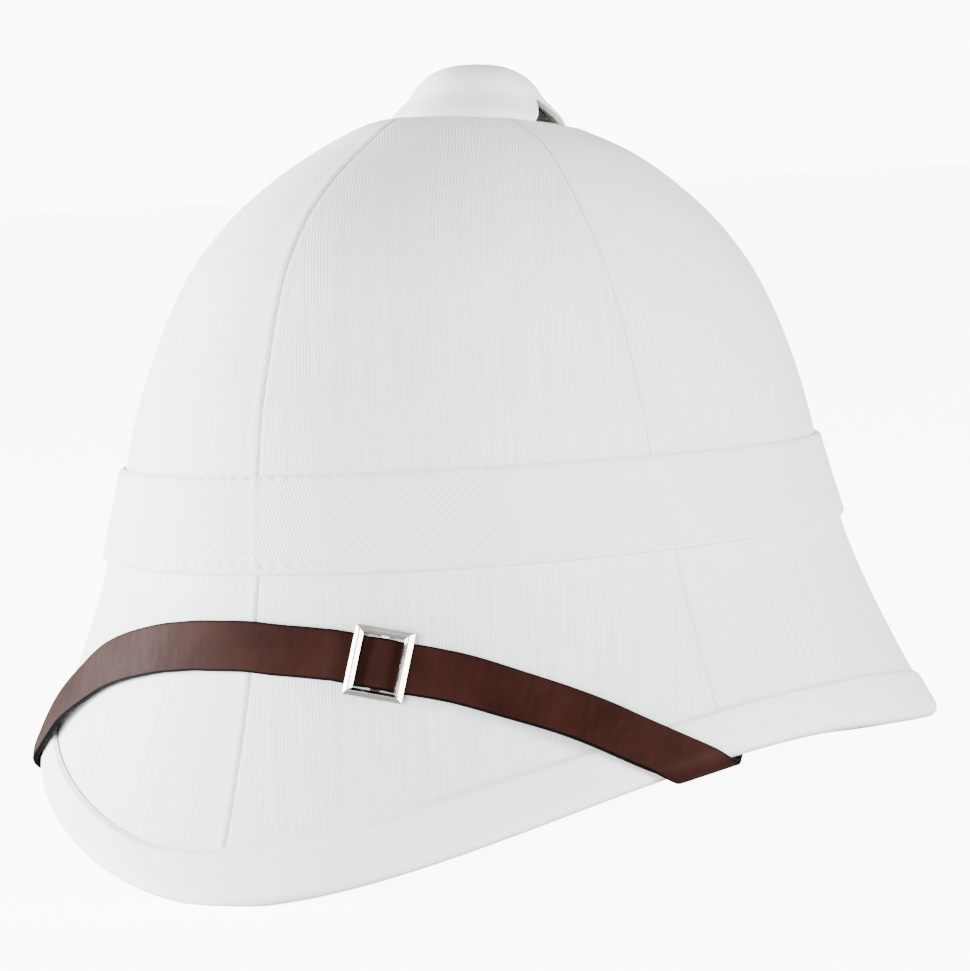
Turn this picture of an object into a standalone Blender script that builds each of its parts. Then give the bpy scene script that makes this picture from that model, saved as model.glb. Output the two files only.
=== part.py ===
"""White pith helmet: cork body, cloth gores, bound brim, hat band, ventilator cap and chin strap.

The helmet is drawn in millimetres with its front towards -Y, the wearer's left towards +X
and its front tip at height 0. An angle round the helmet is 0 at the front and grows towards
the wearer's left. RestFrame then tips it back until the front and the back of the brim
both rest on the floor, centres it over the origin and turns it to metres.
"""

import math
from collections import namedtuple

import bmesh
import bpy
import numpy as np
from mathutils import Matrix, Vector

MM = 0.001

# Clearances and the mesh's fineness.
GAP = 0.3                    # between pieces that are sewn, glued or laid on each other
SEGMENTS = 48                # round the helmet, eight to a gore
GORES = 6
SEAM_TURNS = (0.0, 62.7, 117.3, 180.0, 242.7, 297.3, 360.0)  # the gores' seams, in degrees

# Crown: radii of level sections, by their share of the height from the hat band to the top.
CrownSection = namedtuple("CrownSection", "share side front back")
CROWN_SECTIONS = (
    CrownSection(0.00, 105.0, 123.5, 109.0),
    CrownSection(0.15, 98.5, 123.5, 107.5),
    CrownSection(0.30, 93.5, 122.0, 105.5),
    CrownSection(0.45, 87.0, 117.0, 102.0),
    CrownSection(0.60, 78.0, 110.0, 96.6),
    CrownSection(0.72, 67.2, 98.9, 88.7),
    CrownSection(0.82, 55.1, 83.1, 75.2),
    CrownSection(0.90, 42.4, 65.3, 59.5),
    CrownSection(0.955, 28.6, 51.3, 46.8),
    CrownSection(0.968, 24.6, 44.8, 40.8),
    CrownSection(0.975, 18.0, 28.5, 27.0),
    CrownSection(0.982, 9.0, 9.0, 9.0),
)
VENT_HOLE_SHARE = CROWN_SECTIONS[-1].share
CROWN_RING_SHARES = (0.972, 0.95, 0.89, 0.81, 0.71, 0.57, 0.40)
BASE_HEIGHT = 99.0           # the hat band's lower edge at the sides
BASE_TILT = 0.09             # and its rise for each mm towards the back
CROWN_HEIGHT = 223.5         # to a share of 1; the flat top ends a little lower
CROWN_LEAN = 1.2             # the top lies this far behind the base

# Brim edge: its plan is a softened ellipse, and it dips from the sides to both tips.
BRIM_SIDE = 128.5
BRIM_FRONT = 147.0
BRIM_BACK = 170.0
BRIM_FRONT_SQUARENESS = 1.85
BRIM_BACK_SQUARENESS = 1.90
BRIM_SIDE_HEIGHT = 44.0
BRIM_BACK_HEIGHT = 32.0
BRIM_FRONT_DIP = 2.50        # powers of the cosine that the two dips follow
BRIM_BACK_DIP = 3.6

# Flare from the hat band out to the brim edge: a straight share and a curved rest.
Flare = namedtuple("Flare", "straight power")
FRONT_FLARE = Flare(0.28, 1.62)
SIDE_FLARE = Flare(0.46, 1.15)
BACK_FLARE = Flare(0.31, 2.29)

# Walls. Heights above the cloth are positive, depths under it negative.
CLOTH = 1.0
CORK_TOP = -(CLOTH + GAP)
CORK_WALL = 4.0              # in the crown, thinned towards the brim edge
CORK_EDGE_WALL = 2.0
CORK_EDGE_REACH = 3.0        # cork and cloth stop this far inside the nose of the brim
FREE_RING_SHARES = (0.67, 0.33)  # mesh rings between the binding and the crown's base

# Binding: a tape folded over the brim edge.
BINDING_OUTER_LEG = 16.0
BINDING_MID_LEG = 9.5
BINDING_INNER_LEG = 12.0
BINDING_TOP = GAP + CLOTH
BINDING_UNDER = CORK_TOP - CORK_EDGE_WALL - GAP - CLOTH
NOSE_RADIUS = (BINDING_TOP - BINDING_UNDER) / 2.0
NOSE_HEIGHT = (BINDING_TOP + BINDING_UNDER) / 2.0
NOSE_STEPS = 5
FLATTENED = 0.8              # the cloth nose gives this much where a tip stands on the floor
SETTLED = 0.3                # and what is left this near to the floor lies on it

# Hat band.
BAND_HEIGHT = 25.0
BAND_SHARE = BAND_HEIGHT / (CROWN_HEIGHT - BASE_HEIGHT)
BAND_CLOTH = 1.6
BAND_FOOT_GAP = 0.4          # its foot lies over the bend from crown to brim

# Ventilator cap: radius and height above the crown, rim to top.
ProfilePoint = namedtuple("ProfilePoint", "radius height")
CAP_PROFILE = (
    ProfilePoint(26.6, 0.0),
    ProfilePoint(26.0, 1.5),
    ProfilePoint(23.7, 4.0),
    ProfilePoint(20.5, 7.0),
    ProfilePoint(18.0, 10.3),
    ProfilePoint(15.0, 13.0),
    ProfilePoint(11.0, 15.0),
    ProfilePoint(7.0, 16.0),
    ProfilePoint(0.0, 16.4),
)
CAP_TOP = 238.0
CAP_CENTRE_Y = -2.0
CAP_WALL = 2.4
CAP_SEGMENTS = 32
CAP_SEAT = 0.4
VENT_HALF_WIDTH = 9.2
VENT_HEIGHT = 7.8
VENT_APEX_HALF_WIDTH = 0.5

# Gauze cup, close behind the cap's wall so that it shows in the vents.
GAUZE_PROFILE = (
    ProfilePoint(22.8, 0.0),
    ProfilePoint(20.6, 2.6),
    ProfilePoint(17.2, 6.0),
    ProfilePoint(14.8, 8.6),
    ProfilePoint(11.5, 10.9),
    ProfilePoint(6.5, 12.6),
    ProfilePoint(0.0, 13.1),
)
GAUZE_WALL = 0.8
GAUZE_SEGMENTS = 24

# Chin strap. Its middle line: turn from the strap's middle, and place across the brim,
# which is 0 where the nose begins, positive up the outside and negative round and under it.
STRAP_WIDTH = 14.0
STRAP_THICKNESS = 1.6
STRAP_MIDDLE_TURN = -1.5
STRAP_LIFT = 0.7             # above the cloth
STRAP_NOSE_LIFT = 0.9        # above the binding
STRAP_RISE_START = 26.0      # it starts to rise this far before the binding
STRAP_RISE_LENGTH = 25.0
STRAP_ACROSS = 5             # points across its width
StrapPoint = namedtuple("StrapPoint", "turn place")
STRAP_LINE = (
    StrapPoint(-84.0, -62.5),
    StrapPoint(-62.0, -18.0),
    StrapPoint(-57.0, -7.5),
    StrapPoint(-53.0, 3.0),
    StrapPoint(-49.0, 12.5),
    StrapPoint(-45.0, 22.1),
    StrapPoint(-40.0, 31.6),
    StrapPoint(-31.0, 46.3),
    StrapPoint(-21.0, 58.0),
    StrapPoint(-14.0, 63.9),
    StrapPoint(-7.0, 67.4),
    StrapPoint(0.0, 68.6),
    StrapPoint(7.0, 67.0),
    StrapPoint(14.0, 63.7),
    StrapPoint(21.0, 57.4),
    StrapPoint(31.0, 46.7),
    StrapPoint(40.0, 33.3),
    StrapPoint(45.0, 25.0),
    StrapPoint(49.0, 17.6),
    StrapPoint(53.0, 9.4),
    StrapPoint(56.0, 3.4),
    StrapPoint(59.0, -2.6),
    StrapPoint(62.0, -9.5),
    StrapPoint(84.0, -62.5),
)
STRAP_WRAP_RADIUS = NOSE_RADIUS + STRAP_NOSE_LIFT + STRAP_THICKNESS / 2.0
STRAP_WRAP = math.pi * STRAP_WRAP_RADIUS
STRAP_COARSE_STEP = 7.0
STRAP_FINE_STEP = 2.6
STRAP_FOLD_SPAN = 8.0        # each side of the nose, where the strap needs the fine step
STRAP_BUCKLE_STOPS = (-12.0, -8.8, -6.0, -3.4, -1.3, 1.3, 3.4, 6.0, 8.8, 12.0)

# Slide buckle, on the strap in front of the wearer's left temple.
BUCKLE_TURN = 21.5
BUCKLE_LENGTH = 16.6         # along the strap
BUCKLE_WIDTH = 19.4          # across it
BUCKLE_SIDE_BAR = 2.6
BUCKLE_END_BAR = 2.1
BUCKLE_CENTRE_BAR = 2.4
BUCKLE_CENTRE_BAR_FOOT = 0.9  # heights above the cloth
BUCKLE_CENTRE_BAR_TOP = 2.1
BUCKLE_FRAME_TOP = 4.8
BUCKLE_SIDE_FOOT = STRAP_LIFT + STRAP_THICKNESS + GAP
BUCKLE_BEVEL = 0.45
STRAP_HUMP = BUCKLE_CENTRE_BAR_TOP + GAP + 0.1 - STRAP_LIFT
STRAP_HUMP_FLAT = 1.5        # half lengths of its level top and of its foot
STRAP_HUMP_FOOT = 5.7
STRAP_FLAT_HALF_LENGTH = 9.0  # the buckle holds the strap flat this far each side
STRAP_FLAT_FADE = 8.0

# Studs that hold the strap's ends to the inside wall.
STUD_FROM_END = 7.0
STUD_HEAD_RADIUS = 4.5
STUD_HEAD_THICKNESS = 1.5
STUD_SHANK_RADIUS = 1.5
STUD_HOLE_RADIUS = 1.9
STUD_SIDES = 16

TINY = 1.0e-4                # step for slopes found by difference


def unit(vectors):
    """Scale vectors in the last axis to length one."""
    return vectors / np.linalg.norm(vectors, axis=-1, keepdims=True)


def smooth_through(places, values):
    """Return a smooth curve through the points that never overshoots between them."""
    places = np.asarray(places, float)
    values = np.asarray(values, float)
    steps = np.diff(places)
    slopes = np.diff(values) / steps
    tangents = np.zeros_like(values)
    tangents[0] = slopes[0]
    tangents[-1] = slopes[-1]
    for index in range(1, len(places) - 1):
        before, after = slopes[index - 1], slopes[index]
        if before * after > 0.0:
            weight_before = 2.0 * steps[index] + steps[index - 1]
            weight_after = steps[index] + 2.0 * steps[index - 1]
            total = weight_before + weight_after
            tangents[index] = total / (weight_before / before + weight_after / after)

    def curve(where):
        where = np.clip(where, places[0], places[-1])
        cell = np.clip(np.searchsorted(places, where, side="right") - 1, 0, len(steps) - 1)
        width = steps[cell]
        share = (where - places[cell]) / width
        rest = 1.0 - share
        start = values[cell] * (1.0 + 2.0 * share) * rest ** 2
        end = values[cell + 1] * (1.0 + 2.0 * rest) * share ** 2
        bends = (tangents[cell] * rest - tangents[cell + 1] * share) * share * rest * width
        return start + end + bends

    return curve


CROWN_SHARES = [section.share for section in CROWN_SECTIONS]
crown_side = smooth_through(CROWN_SHARES, [section.side for section in CROWN_SECTIONS])
crown_front = smooth_through(CROWN_SHARES, [section.front for section in CROWN_SECTIONS])
crown_back = smooth_through(CROWN_SHARES, [section.back for section in CROWN_SECTIONS])


# The outer cloth surface -----------------------------------------------------------------

def crown_point(angle, share):
    """Point of the crown at an angle round and a share of its height."""
    angle, share = np.broadcast_arrays(np.asarray(angle, float), np.asarray(share, float))
    sine, cosine = np.sin(angle), np.cos(angle)
    forward = cosine > 0.0
    reach = np.where(forward, crown_front(share), crown_back(share))
    base_reach = np.where(forward, CROWN_SECTIONS[0].front, CROWN_SECTIONS[0].back)
    base = BASE_HEIGHT - BASE_TILT * base_reach * cosine
    return np.stack([
        crown_side(share) * sine,
        CROWN_LEAN * share ** 2 - reach * cosine,
        base + (CROWN_HEIGHT - base) * share,
    ], axis=-1)


def softened(value, squareness):
    """Sine or cosine of a softened ellipse."""
    return np.sign(value) * np.abs(value) ** (2.0 / squareness)


def brim_edge_point(angle):
    """Point of the nose of the brim at an angle round."""
    sine, cosine = np.sin(angle), np.cos(angle)
    forward = cosine > 0.0
    reach = np.where(forward, BRIM_FRONT, BRIM_BACK)
    squareness = np.where(forward, BRIM_FRONT_SQUARENESS, BRIM_BACK_SQUARENESS)
    front_dip = np.clip(cosine, 0.0, 1.0) ** BRIM_FRONT_DIP
    back_dip = np.clip(-cosine, 0.0, 1.0) ** BRIM_BACK_DIP
    height = BRIM_SIDE_HEIGHT * (1.0 - front_dip) + (BRIM_BACK_HEIGHT - BRIM_SIDE_HEIGHT) * back_dip
    return np.stack([
        BRIM_SIDE * softened(sine, squareness),
        -reach * softened(cosine, squareness),
        height,
    ], axis=-1)


def brim_point(angle, drop):
    """Point between the crown's base (drop 0) and the nose of the brim (drop 1)."""
    angle, drop = np.broadcast_arrays(np.asarray(angle, float), np.asarray(drop, float))
    base = crown_point(angle, 0.0)
    nose = brim_edge_point(angle)
    ahead = np.clip(np.cos(angle), 0.0, 1.0) ** 2
    behind = np.clip(-np.cos(angle), 0.0, 1.0) ** 2
    straight = (SIDE_FLARE.straight + (FRONT_FLARE.straight - SIDE_FLARE.straight) * ahead
                + (BACK_FLARE.straight - SIDE_FLARE.straight) * behind)
    power = (SIDE_FLARE.power + (FRONT_FLARE.power - SIDE_FLARE.power) * ahead
             + (BACK_FLARE.power - SIDE_FLARE.power) * behind)
    outward = straight * drop + (1.0 - straight) * np.clip(drop, 0.0, None) ** power
    plan = base[..., :2] + (nose[..., :2] - base[..., :2]) * outward[..., None]
    height = base[..., 2] + (nose[..., 2] - base[..., 2]) * drop
    return np.concatenate([plan, height[..., None]], axis=-1)


def slopes_at(surface, angle, place, downward):
    """Unit vectors down the surface and out of it; downward is the sign of place going down."""
    across = surface(angle + TINY, place) - surface(angle - TINY, place)
    low, high = np.maximum(place - TINY, 0.0), place + TINY
    down = (surface(angle, high) - surface(angle, low)) * downward
    return unit(down), unit(np.cross(down, across))


DROPS = np.linspace(0.0, 1.0, 81)


def brim_reach_to_drop(angle, reach):
    """Turn a distance from the nose, measured up the surface, into a drop."""
    drops = np.empty(len(angle))
    for index, one_angle in enumerate(angle):
        line = brim_point(one_angle, DROPS)
        lengths = np.linalg.norm(np.diff(line, axis=0), axis=1)
        from_nose = np.concatenate([[0.0], np.cumsum(lengths[::-1])])
        drops[index] = np.interp(reach[index], from_nose, DROPS[::-1])
    return drops


def brim_length(angle):
    """Distance from the crown's base to the nose at each angle."""
    line = brim_point(np.asarray(angle)[:, None], DROPS)
    return np.linalg.norm(np.diff(line, axis=1), axis=2).sum(axis=1)


Ring = namedtuple("Ring", "points down out")


def crown_ring(angle, share):
    """Points and directions round the crown at one share of its height."""
    down, out = slopes_at(crown_point, angle, share, -1.0)
    return Ring(crown_point(angle, share), down, out)


def brim_ring(angle, reach):
    """Points and directions at a distance from the nose, one for each angle or one for all."""
    reach = np.broadcast_to(np.asarray(reach, float), angle.shape)
    drop = brim_reach_to_drop(angle, reach)
    down, out = slopes_at(brim_point, angle, drop, 1.0)
    return Ring(brim_point(angle, drop), down, out)


def base_ring(angle):
    """The crown's base, with the mean of the crown's and the brim's directions."""
    crown, brim = crown_ring(angle, 0.0), brim_ring(angle, brim_length(angle))
    return Ring(crown.points, unit(crown.down + brim.down), unit(crown.out + brim.out))


def cloth_rings(angle):
    """All rings of the cloth from the vent hole to where it stops inside the binding."""
    rings = [crown_ring(angle, share) for share in (VENT_HOLE_SHARE, *CROWN_RING_SHARES, BAND_SHARE)]
    rings.append(base_ring(angle))
    free = brim_length(angle) - BINDING_OUTER_LEG
    for share in FREE_RING_SHARES:
        rings.append(brim_ring(angle, BINDING_OUTER_LEG + free * share))
    for reach in (BINDING_OUTER_LEG, BINDING_MID_LEG, CORK_EDGE_REACH):
        rings.append(brim_ring(angle, reach))
    return rings


def brim_wall(share):
    """Cork thickness by the share of the way from the binding up to the crown's base."""
    return CORK_EDGE_WALL + (CORK_WALL - CORK_EDGE_WALL) * np.clip(share, 0.0, 1.0)


def cork_walls(ring_count):
    """Cork thickness at each cloth ring: full in the crown, thin where the binding holds it."""
    walls = [CORK_WALL] * (len(CROWN_RING_SHARES) + 3)
    walls += [brim_wall(share) for share in FREE_RING_SHARES]
    walls += [CORK_EDGE_WALL] * (ring_count - len(walls))
    return walls


def offset(ring, height):
    """Points of a ring moved out of the cloth by a height, or in by a negative one."""
    return ring.points + ring.out * height


# The rest pose ---------------------------------------------------------------------------

def tip_back(points, pitch):
    """Turn points about the X axis, the back going down."""
    sine, cosine = math.sin(pitch), math.cos(pitch)
    x, y, z = points[..., 0], points[..., 1], points[..., 2]
    return np.stack([x, y * cosine + z * sine, z * cosine - y * sine], axis=-1)


def find_rest(binding_points):
    """Return the pitch that levels the two tips, and the shift to the floor and the middle."""
    points = binding_points.reshape(-1, 3)
    pitch = 0.0
    for _ in range(8):
        tipped = tip_back(points, pitch)
        front = tipped[tipped[:, 1] < 0.0]
        back = tipped[tipped[:, 1] > 0.0]
        front_low = front[front[:, 2].argmin()]
        back_low = back[back[:, 2].argmin()]
        pitch += math.atan2(back_low[2] - front_low[2], back_low[1] - front_low[1])
    tipped = tip_back(points, pitch)
    middle = (tipped[:, 1].max() + tipped[:, 1].min()) / 2.0
    return pitch, np.array([0.0, -middle, -(tipped[:, 2].min() + FLATTENED)])


class RestFrame:
    """Moves drawn points into the rest pose."""

    def __init__(self, binding_points):
        self.pitch, self.shift = find_rest(binding_points)

    def __call__(self, points):
        return (tip_back(np.asarray(points, float), self.pitch) + self.shift) * MM

    def on_floor(self, points):
        """The same, with what would pass the floor flattened on it."""
        placed = self(points)
        placed[..., 2] = np.where(placed[..., 2] < SETTLED * MM, 0.0, placed[..., 2])
        return placed


# Meshes ----------------------------------------------------------------------------------

def grid_faces(rows, columns, closed):
    """Triangles of a grid of points; closed joins the last column to the first."""
    faces = []
    for row in range(rows - 1):
        for column in range(columns if closed else columns - 1):
            following = (column + 1) % columns
            here, right = row * columns + column, row * columns + following
            below, below_right = here + columns, right + columns
            faces.append((here, below, below_right))
            faces.append((here, below_right, right))
    return faces


def make_object(name, points, faces, material, smooth_angle=35.0):
    """Make one named object from points in metres, all faces turned outwards."""
    mesh = bpy.data.meshes.new(name)
    shape = bmesh.new()
    vertices = [shape.verts.new(point) for point in np.asarray(points).reshape(-1, 3).tolist()]
    for face in faces:
        shape.faces.new([vertices[index] for index in face])
    bmesh.ops.recalc_face_normals(shape, faces=shape.faces)
    shape.to_mesh(mesh)
    shape.free()
    mesh.shade_smooth()
    mesh.set_sharp_from_angle(angle=math.radians(smooth_angle))
    mesh.materials.append(material)
    made = bpy.data.objects.new(name, mesh)
    bpy.context.scene.collection.objects.link(made)
    return made


def make_ring_body(name, rows, material, place):
    """Close a list of rows of points into a ring: the last row joins the first."""
    points = place(np.stack(rows))
    count, columns = points.shape[:2]
    faces = grid_faces(count, columns, closed=True)
    last = (count - 1) * columns
    for column in range(columns):
        following = (column + 1) % columns
        faces.append((last + column, column, following))
        faces.append((last + column, following, last + following))
    return make_object(name, points, faces, material)


def make_sheet_body(name, outer, inner, material, place):
    """Close two equal grids of points, the outer and the inner face of a sheet."""
    rows, columns = outer.shape[:2]
    size = rows * columns
    points = place(np.concatenate([outer.reshape(-1, 3), inner.reshape(-1, 3)]))
    faces = grid_faces(rows, columns, closed=False)
    faces += [tuple(index + size for index in reversed(face)) for face in faces]
    border = [column for column in range(columns)]
    border += [row * columns + columns - 1 for row in range(1, rows)]
    border += [(rows - 1) * columns + column for column in range(columns - 2, -1, -1)]
    border += [row * columns for row in range(rows - 2, 0, -1)]
    for here, following in zip(border, border[1:] + border[:1]):
        faces.append((here, following, following + size))
        faces.append((here, following + size, here + size))
    return make_object(name, points, faces, material)


def make_material(name, colour, roughness, metallic=0.0):
    """Make a plain Principled material."""
    material = bpy.data.materials.new(name)
    material.use_nodes = True
    shader = material.node_tree.nodes["Principled BSDF"]
    shader.inputs["Base Color"].default_value = (*colour, 1.0)
    shader.inputs["Roughness"].default_value = roughness
    shader.inputs["Metallic"].default_value = metallic
    return material


# Body, cover, binding and hat band -------------------------------------------------------

def mesh_angles(first, count):
    """Angles of the mesh's columns, in equal steps from each seam to the next."""
    gores = (first + np.arange(count)) * (GORES / SEGMENTS)
    return np.radians(np.interp(gores, np.arange(GORES + 1), SEAM_TURNS))


ANGLES = mesh_angles(0, SEGMENTS)


def make_cork_shell(rings, material, place):
    """The pressed body: dome and brim in one, open below, a vent hole at the top."""
    walls = cork_walls(len(rings))
    outer = [offset(ring, CORK_TOP) for ring in rings]
    inner = [offset(ring, CORK_TOP - wall) for ring, wall in zip(rings, walls)]
    return make_ring_body("cork_shell", outer + inner[::-1], material, place)


def make_cover_panel(number, material, place):
    """One gore of the cover, with half a seam's gap down each side."""
    steps = SEGMENTS // GORES
    first = (number - 1) * steps
    angles = mesh_angles(first, steps + 1)
    rings = cloth_rings(angles)
    outer = np.stack([ring.points for ring in rings])
    inner = np.stack([offset(ring, -CLOTH) for ring in rings])
    for column, side in ((0, 1.0), (-1, -1.0)):
        for row, ring in enumerate(rings):
            along = np.cross(ring.out[column], ring.down[column])
            outer[row, column] += along * side * GAP / 2.0
            inner[row, column] += along * side * GAP / 2.0
    return make_sheet_body(f"cover_panel_{number}", outer, inner, material, place)


def nose_arc(ring, radius, turn):
    """Point on the round nose: turn is 0 at the top of the brim and pi under it."""
    rise = NOSE_HEIGHT + radius * np.cos(turn)
    forward = radius * np.sin(turn)
    return ring.points + ring.out * rise[..., None] + ring.down * forward[..., None]


def binding_rows():
    """Cross-section of the folded tape, carried round the brim."""
    leg = brim_ring(ANGLES, BINDING_OUTER_LEG)
    middle = brim_ring(ANGLES, BINDING_MID_LEG)
    inner_leg = brim_ring(ANGLES, BINDING_INNER_LEG)
    nose = brim_ring(ANGLES, NOSE_RADIUS)
    fold = brim_ring(ANGLES, CORK_EDGE_REACH - GAP)
    rows = [offset(leg, BINDING_TOP), offset(middle, BINDING_TOP)]
    for turn in np.linspace(0.0, math.pi, NOSE_STEPS + 1):
        rows.append(nose_arc(nose, NOSE_RADIUS, np.full(SEGMENTS, turn)))
    rows += [offset(inner_leg, BINDING_UNDER), offset(inner_leg, BINDING_UNDER + CLOTH)]
    rows += [offset(fold, BINDING_UNDER + CLOTH), offset(fold, GAP)]
    rows += [offset(middle, GAP), offset(leg, GAP)]
    return rows


def make_puggaree(material, place):
    """The flat cloth band round the foot of the crown."""
    top = crown_ring(ANGLES, BAND_SHARE)
    bottom = base_ring(ANGLES)
    face = GAP + BAND_CLOTH
    rows = [offset(top, face), offset(bottom, face), offset(bottom, BAND_FOOT_GAP), offset(top, GAP)]
    return make_ring_body("puggaree", rows, material, place)


# Ventilator ------------------------------------------------------------------------------

def crown_height_at(x, y):
    """Height of the crown's cloth over one place in plan."""
    low, high = 0.5, VENT_HOLE_SHARE
    for _ in range(40):
        share = (low + high) / 2.0
        forward = CROWN_LEAN * share ** 2 - y
        reach = crown_front(share) if forward > 0.0 else crown_back(share)
        side = crown_side(share)
        if math.hypot(x / side, forward / reach) < 1.0:
            low = share
        else:
            high = share
    angle = math.atan2(x / side, forward / reach)
    return float(crown_point(angle, share)[2])


def inset(profile, wall):
    """The inner face of a turned wall: the profile moved in square to itself."""
    inner = [ProfilePoint(profile[0].radius - wall, 0.0)]
    for before, here, after in zip(profile, profile[1:], profile[2:]):
        run, rise = before.radius - after.radius, after.height - before.height
        length = math.hypot(run, rise)
        height = here.height - wall * run / length
        if height > inner[-1].height + wall / 4.0:
            inner.append(ProfilePoint(here.radius - wall * rise / length, height))
    inner.append(ProfilePoint(0.0, profile[-1].height - wall))
    return inner


def turned_rows(profile, segments, seat):
    """Rows of a turned wall whose foot follows the crown; the last point is on the axis."""
    turns = np.arange(segments) * (2.0 * math.pi / segments)
    full = CAP_PROFILE[-1].height
    foot_radius = profile[0].radius
    feet = []
    for turn in turns:
        x, y = foot_radius * math.sin(turn), CAP_CENTRE_Y - foot_radius * math.cos(turn)
        feet.append(crown_height_at(x, y) + seat)
    feet = np.array(feet)
    rows = []
    for point in profile[:-1]:
        heights = feet + (CAP_TOP - feet) * point.height / full
        rows.append(np.stack([
            point.radius * np.sin(turns),
            CAP_CENTRE_Y - point.radius * np.cos(turns),
            heights,
        ], axis=-1))
    mean_foot = feet.mean()
    top = np.array([0.0, CAP_CENTRE_Y, mean_foot + (CAP_TOP - mean_foot) * profile[-1].height / full])
    return rows, top


def make_turned_cup(name, profile, wall, segments, material, place):
    """A closed-topped turned wall that sits on the crown."""
    outer, outer_top = turned_rows(profile, segments, CAP_SEAT)
    inner, inner_top = turned_rows(inset(profile, wall), segments, CAP_SEAT)
    rows = np.stack(outer[::-1] + inner)
    count = len(rows)
    faces = grid_faces(count, segments, closed=True)
    outer_pole, inner_pole = count * segments, count * segments + 1
    last = (count - 1) * segments
    for column in range(segments):
        following = (column + 1) % segments
        faces.append((outer_pole, column, following))
        faces.append((inner_pole, last + following, last + column))
    points = place(np.concatenate([rows.reshape(-1, 3), [outer_top, inner_top]]))
    return make_object(name, points, faces, material)


def make_vent_cutter(place):
    """A prism along X with the outline of both A-shaped vents."""
    foot = crown_height_at(0.0, CAP_CENTRE_Y - CAP_PROFILE[0].radius) - CAP_PROFILE[0].height
    side_foot = crown_height_at(CAP_PROFILE[0].radius, CAP_CENTRE_Y)
    below = side_foot - (foot - side_foot) - VENT_HEIGHT
    apex = side_foot + VENT_HEIGHT
    spread = VENT_HALF_WIDTH * (apex - below) / VENT_HEIGHT
    outline = [
        (CAP_CENTRE_Y - spread, below),
        (CAP_CENTRE_Y + spread, below),
        (CAP_CENTRE_Y + VENT_APEX_HALF_WIDTH, apex),
        (CAP_CENTRE_Y - VENT_APEX_HALF_WIDTH, apex),
    ]
    reach = CAP_PROFILE[0].radius * 2.0
    points = [(side, y, z) for side in (-reach, reach) for y, z in outline]
    faces = [(0, 3, 2, 1), (4, 5, 6, 7)]
    faces += [(index, (index + 1) % 4, (index + 1) % 4 + 4, index + 4) for index in range(4)]
    cutter = make_object("vent_cutter", place(np.array(points)), faces, None)
    hide_helper(cutter)
    return cutter


def hide_helper(helper):
    """Mark an object as a cutter that isn't part of the helmet."""
    helper.hide_render = True
    helper.display_type = "WIRE"


def cut(target, cutter):
    """Cut one object's shape out of another."""
    modifier = target.modifiers.new("cut", "BOOLEAN")
    modifier.operation = "DIFFERENCE"
    modifier.solver = "EXACT"
    modifier.object = cutter


# Chin strap, buckle and studs ------------------------------------------------------------

strap_place = smooth_through([point.turn for point in STRAP_LINE], [point.place for point in STRAP_LINE])


def ease(share):
    """Smooth step from 0 to 1."""
    share = np.clip(share, 0.0, 1.0)
    return share * share * (3.0 - 2.0 * share)


def wrapped_point(turn, place, height):
    """Point over the brim at a place up, round or under it, a height out of the strap's seat."""
    turn, place, height = np.broadcast_arrays(*(np.asarray(item, float) for item in (turn, place, height)))
    turn, place, height = turn.ravel(), place.ravel(), height.ravel()
    under = place < -STRAP_WRAP
    reach = np.where(under, -place - STRAP_WRAP, np.maximum(place, 0.0)) + NOSE_RADIUS
    ring = brim_ring(np.radians(turn), reach)
    from_binding = reach - BINDING_OUTER_LEG
    over_binding = ease((STRAP_RISE_START - from_binding) / STRAP_RISE_LENGTH)
    top = STRAP_LIFT + (BINDING_TOP + STRAP_NOSE_LIFT - STRAP_LIFT) * over_binding + height
    wall = brim_wall(from_binding / (brim_length(np.radians(turn)) - BINDING_OUTER_LEG))
    bottom = np.minimum(BINDING_UNDER, CORK_TOP - wall) - STRAP_NOSE_LIFT - height
    flat = ring.points + ring.out * np.where(under, bottom, top)[:, None]
    swing = np.clip(-place / STRAP_WRAP_RADIUS, 0.0, math.pi)
    round_nose = nose_arc(ring, NOSE_RADIUS + STRAP_NOSE_LIFT + height, swing)
    return np.where(((place <= 0.0) & ~under)[:, None], round_nose, flat)


def strap_line():
    """The strap's middle line from end to end: turns, places and length from the middle."""
    turn = np.linspace(STRAP_LINE[0].turn, STRAP_LINE[-1].turn, 721)
    place = strap_place(turn)
    points = wrapped_point(turn + STRAP_MIDDLE_TURN, place, STRAP_THICKNESS / 2.0)
    length = np.concatenate([[0.0], np.cumsum(np.linalg.norm(np.diff(points, axis=0), axis=1))])
    return turn, place, length - np.interp(0.0, turn, length)


def strap_stops(turn, place, length):
    """Lengths along the strap where it gets a row of points, and the buckle's length."""
    buckle = float(np.interp(BUCKLE_TURN, turn, length))
    stops = [length[0]]
    while stops[-1] < length[-1] - STRAP_FINE_STEP:
        across = float(np.interp(stops[-1], length, place))
        near_nose = -STRAP_WRAP - STRAP_FOLD_SPAN < across < STRAP_FOLD_SPAN
        stops.append(stops[-1] + (STRAP_FINE_STEP if near_nose else STRAP_COARSE_STEP))
    stops[-1] = length[-1]
    clear = abs(STRAP_BUCKLE_STOPS[0]) + STRAP_COARSE_STEP / 2.0
    stops = [stop for stop in stops if abs(stop - buckle) > clear]
    stops += [buckle + stop for stop in STRAP_BUCKLE_STOPS]
    return np.array(sorted(stops)), buckle


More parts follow.
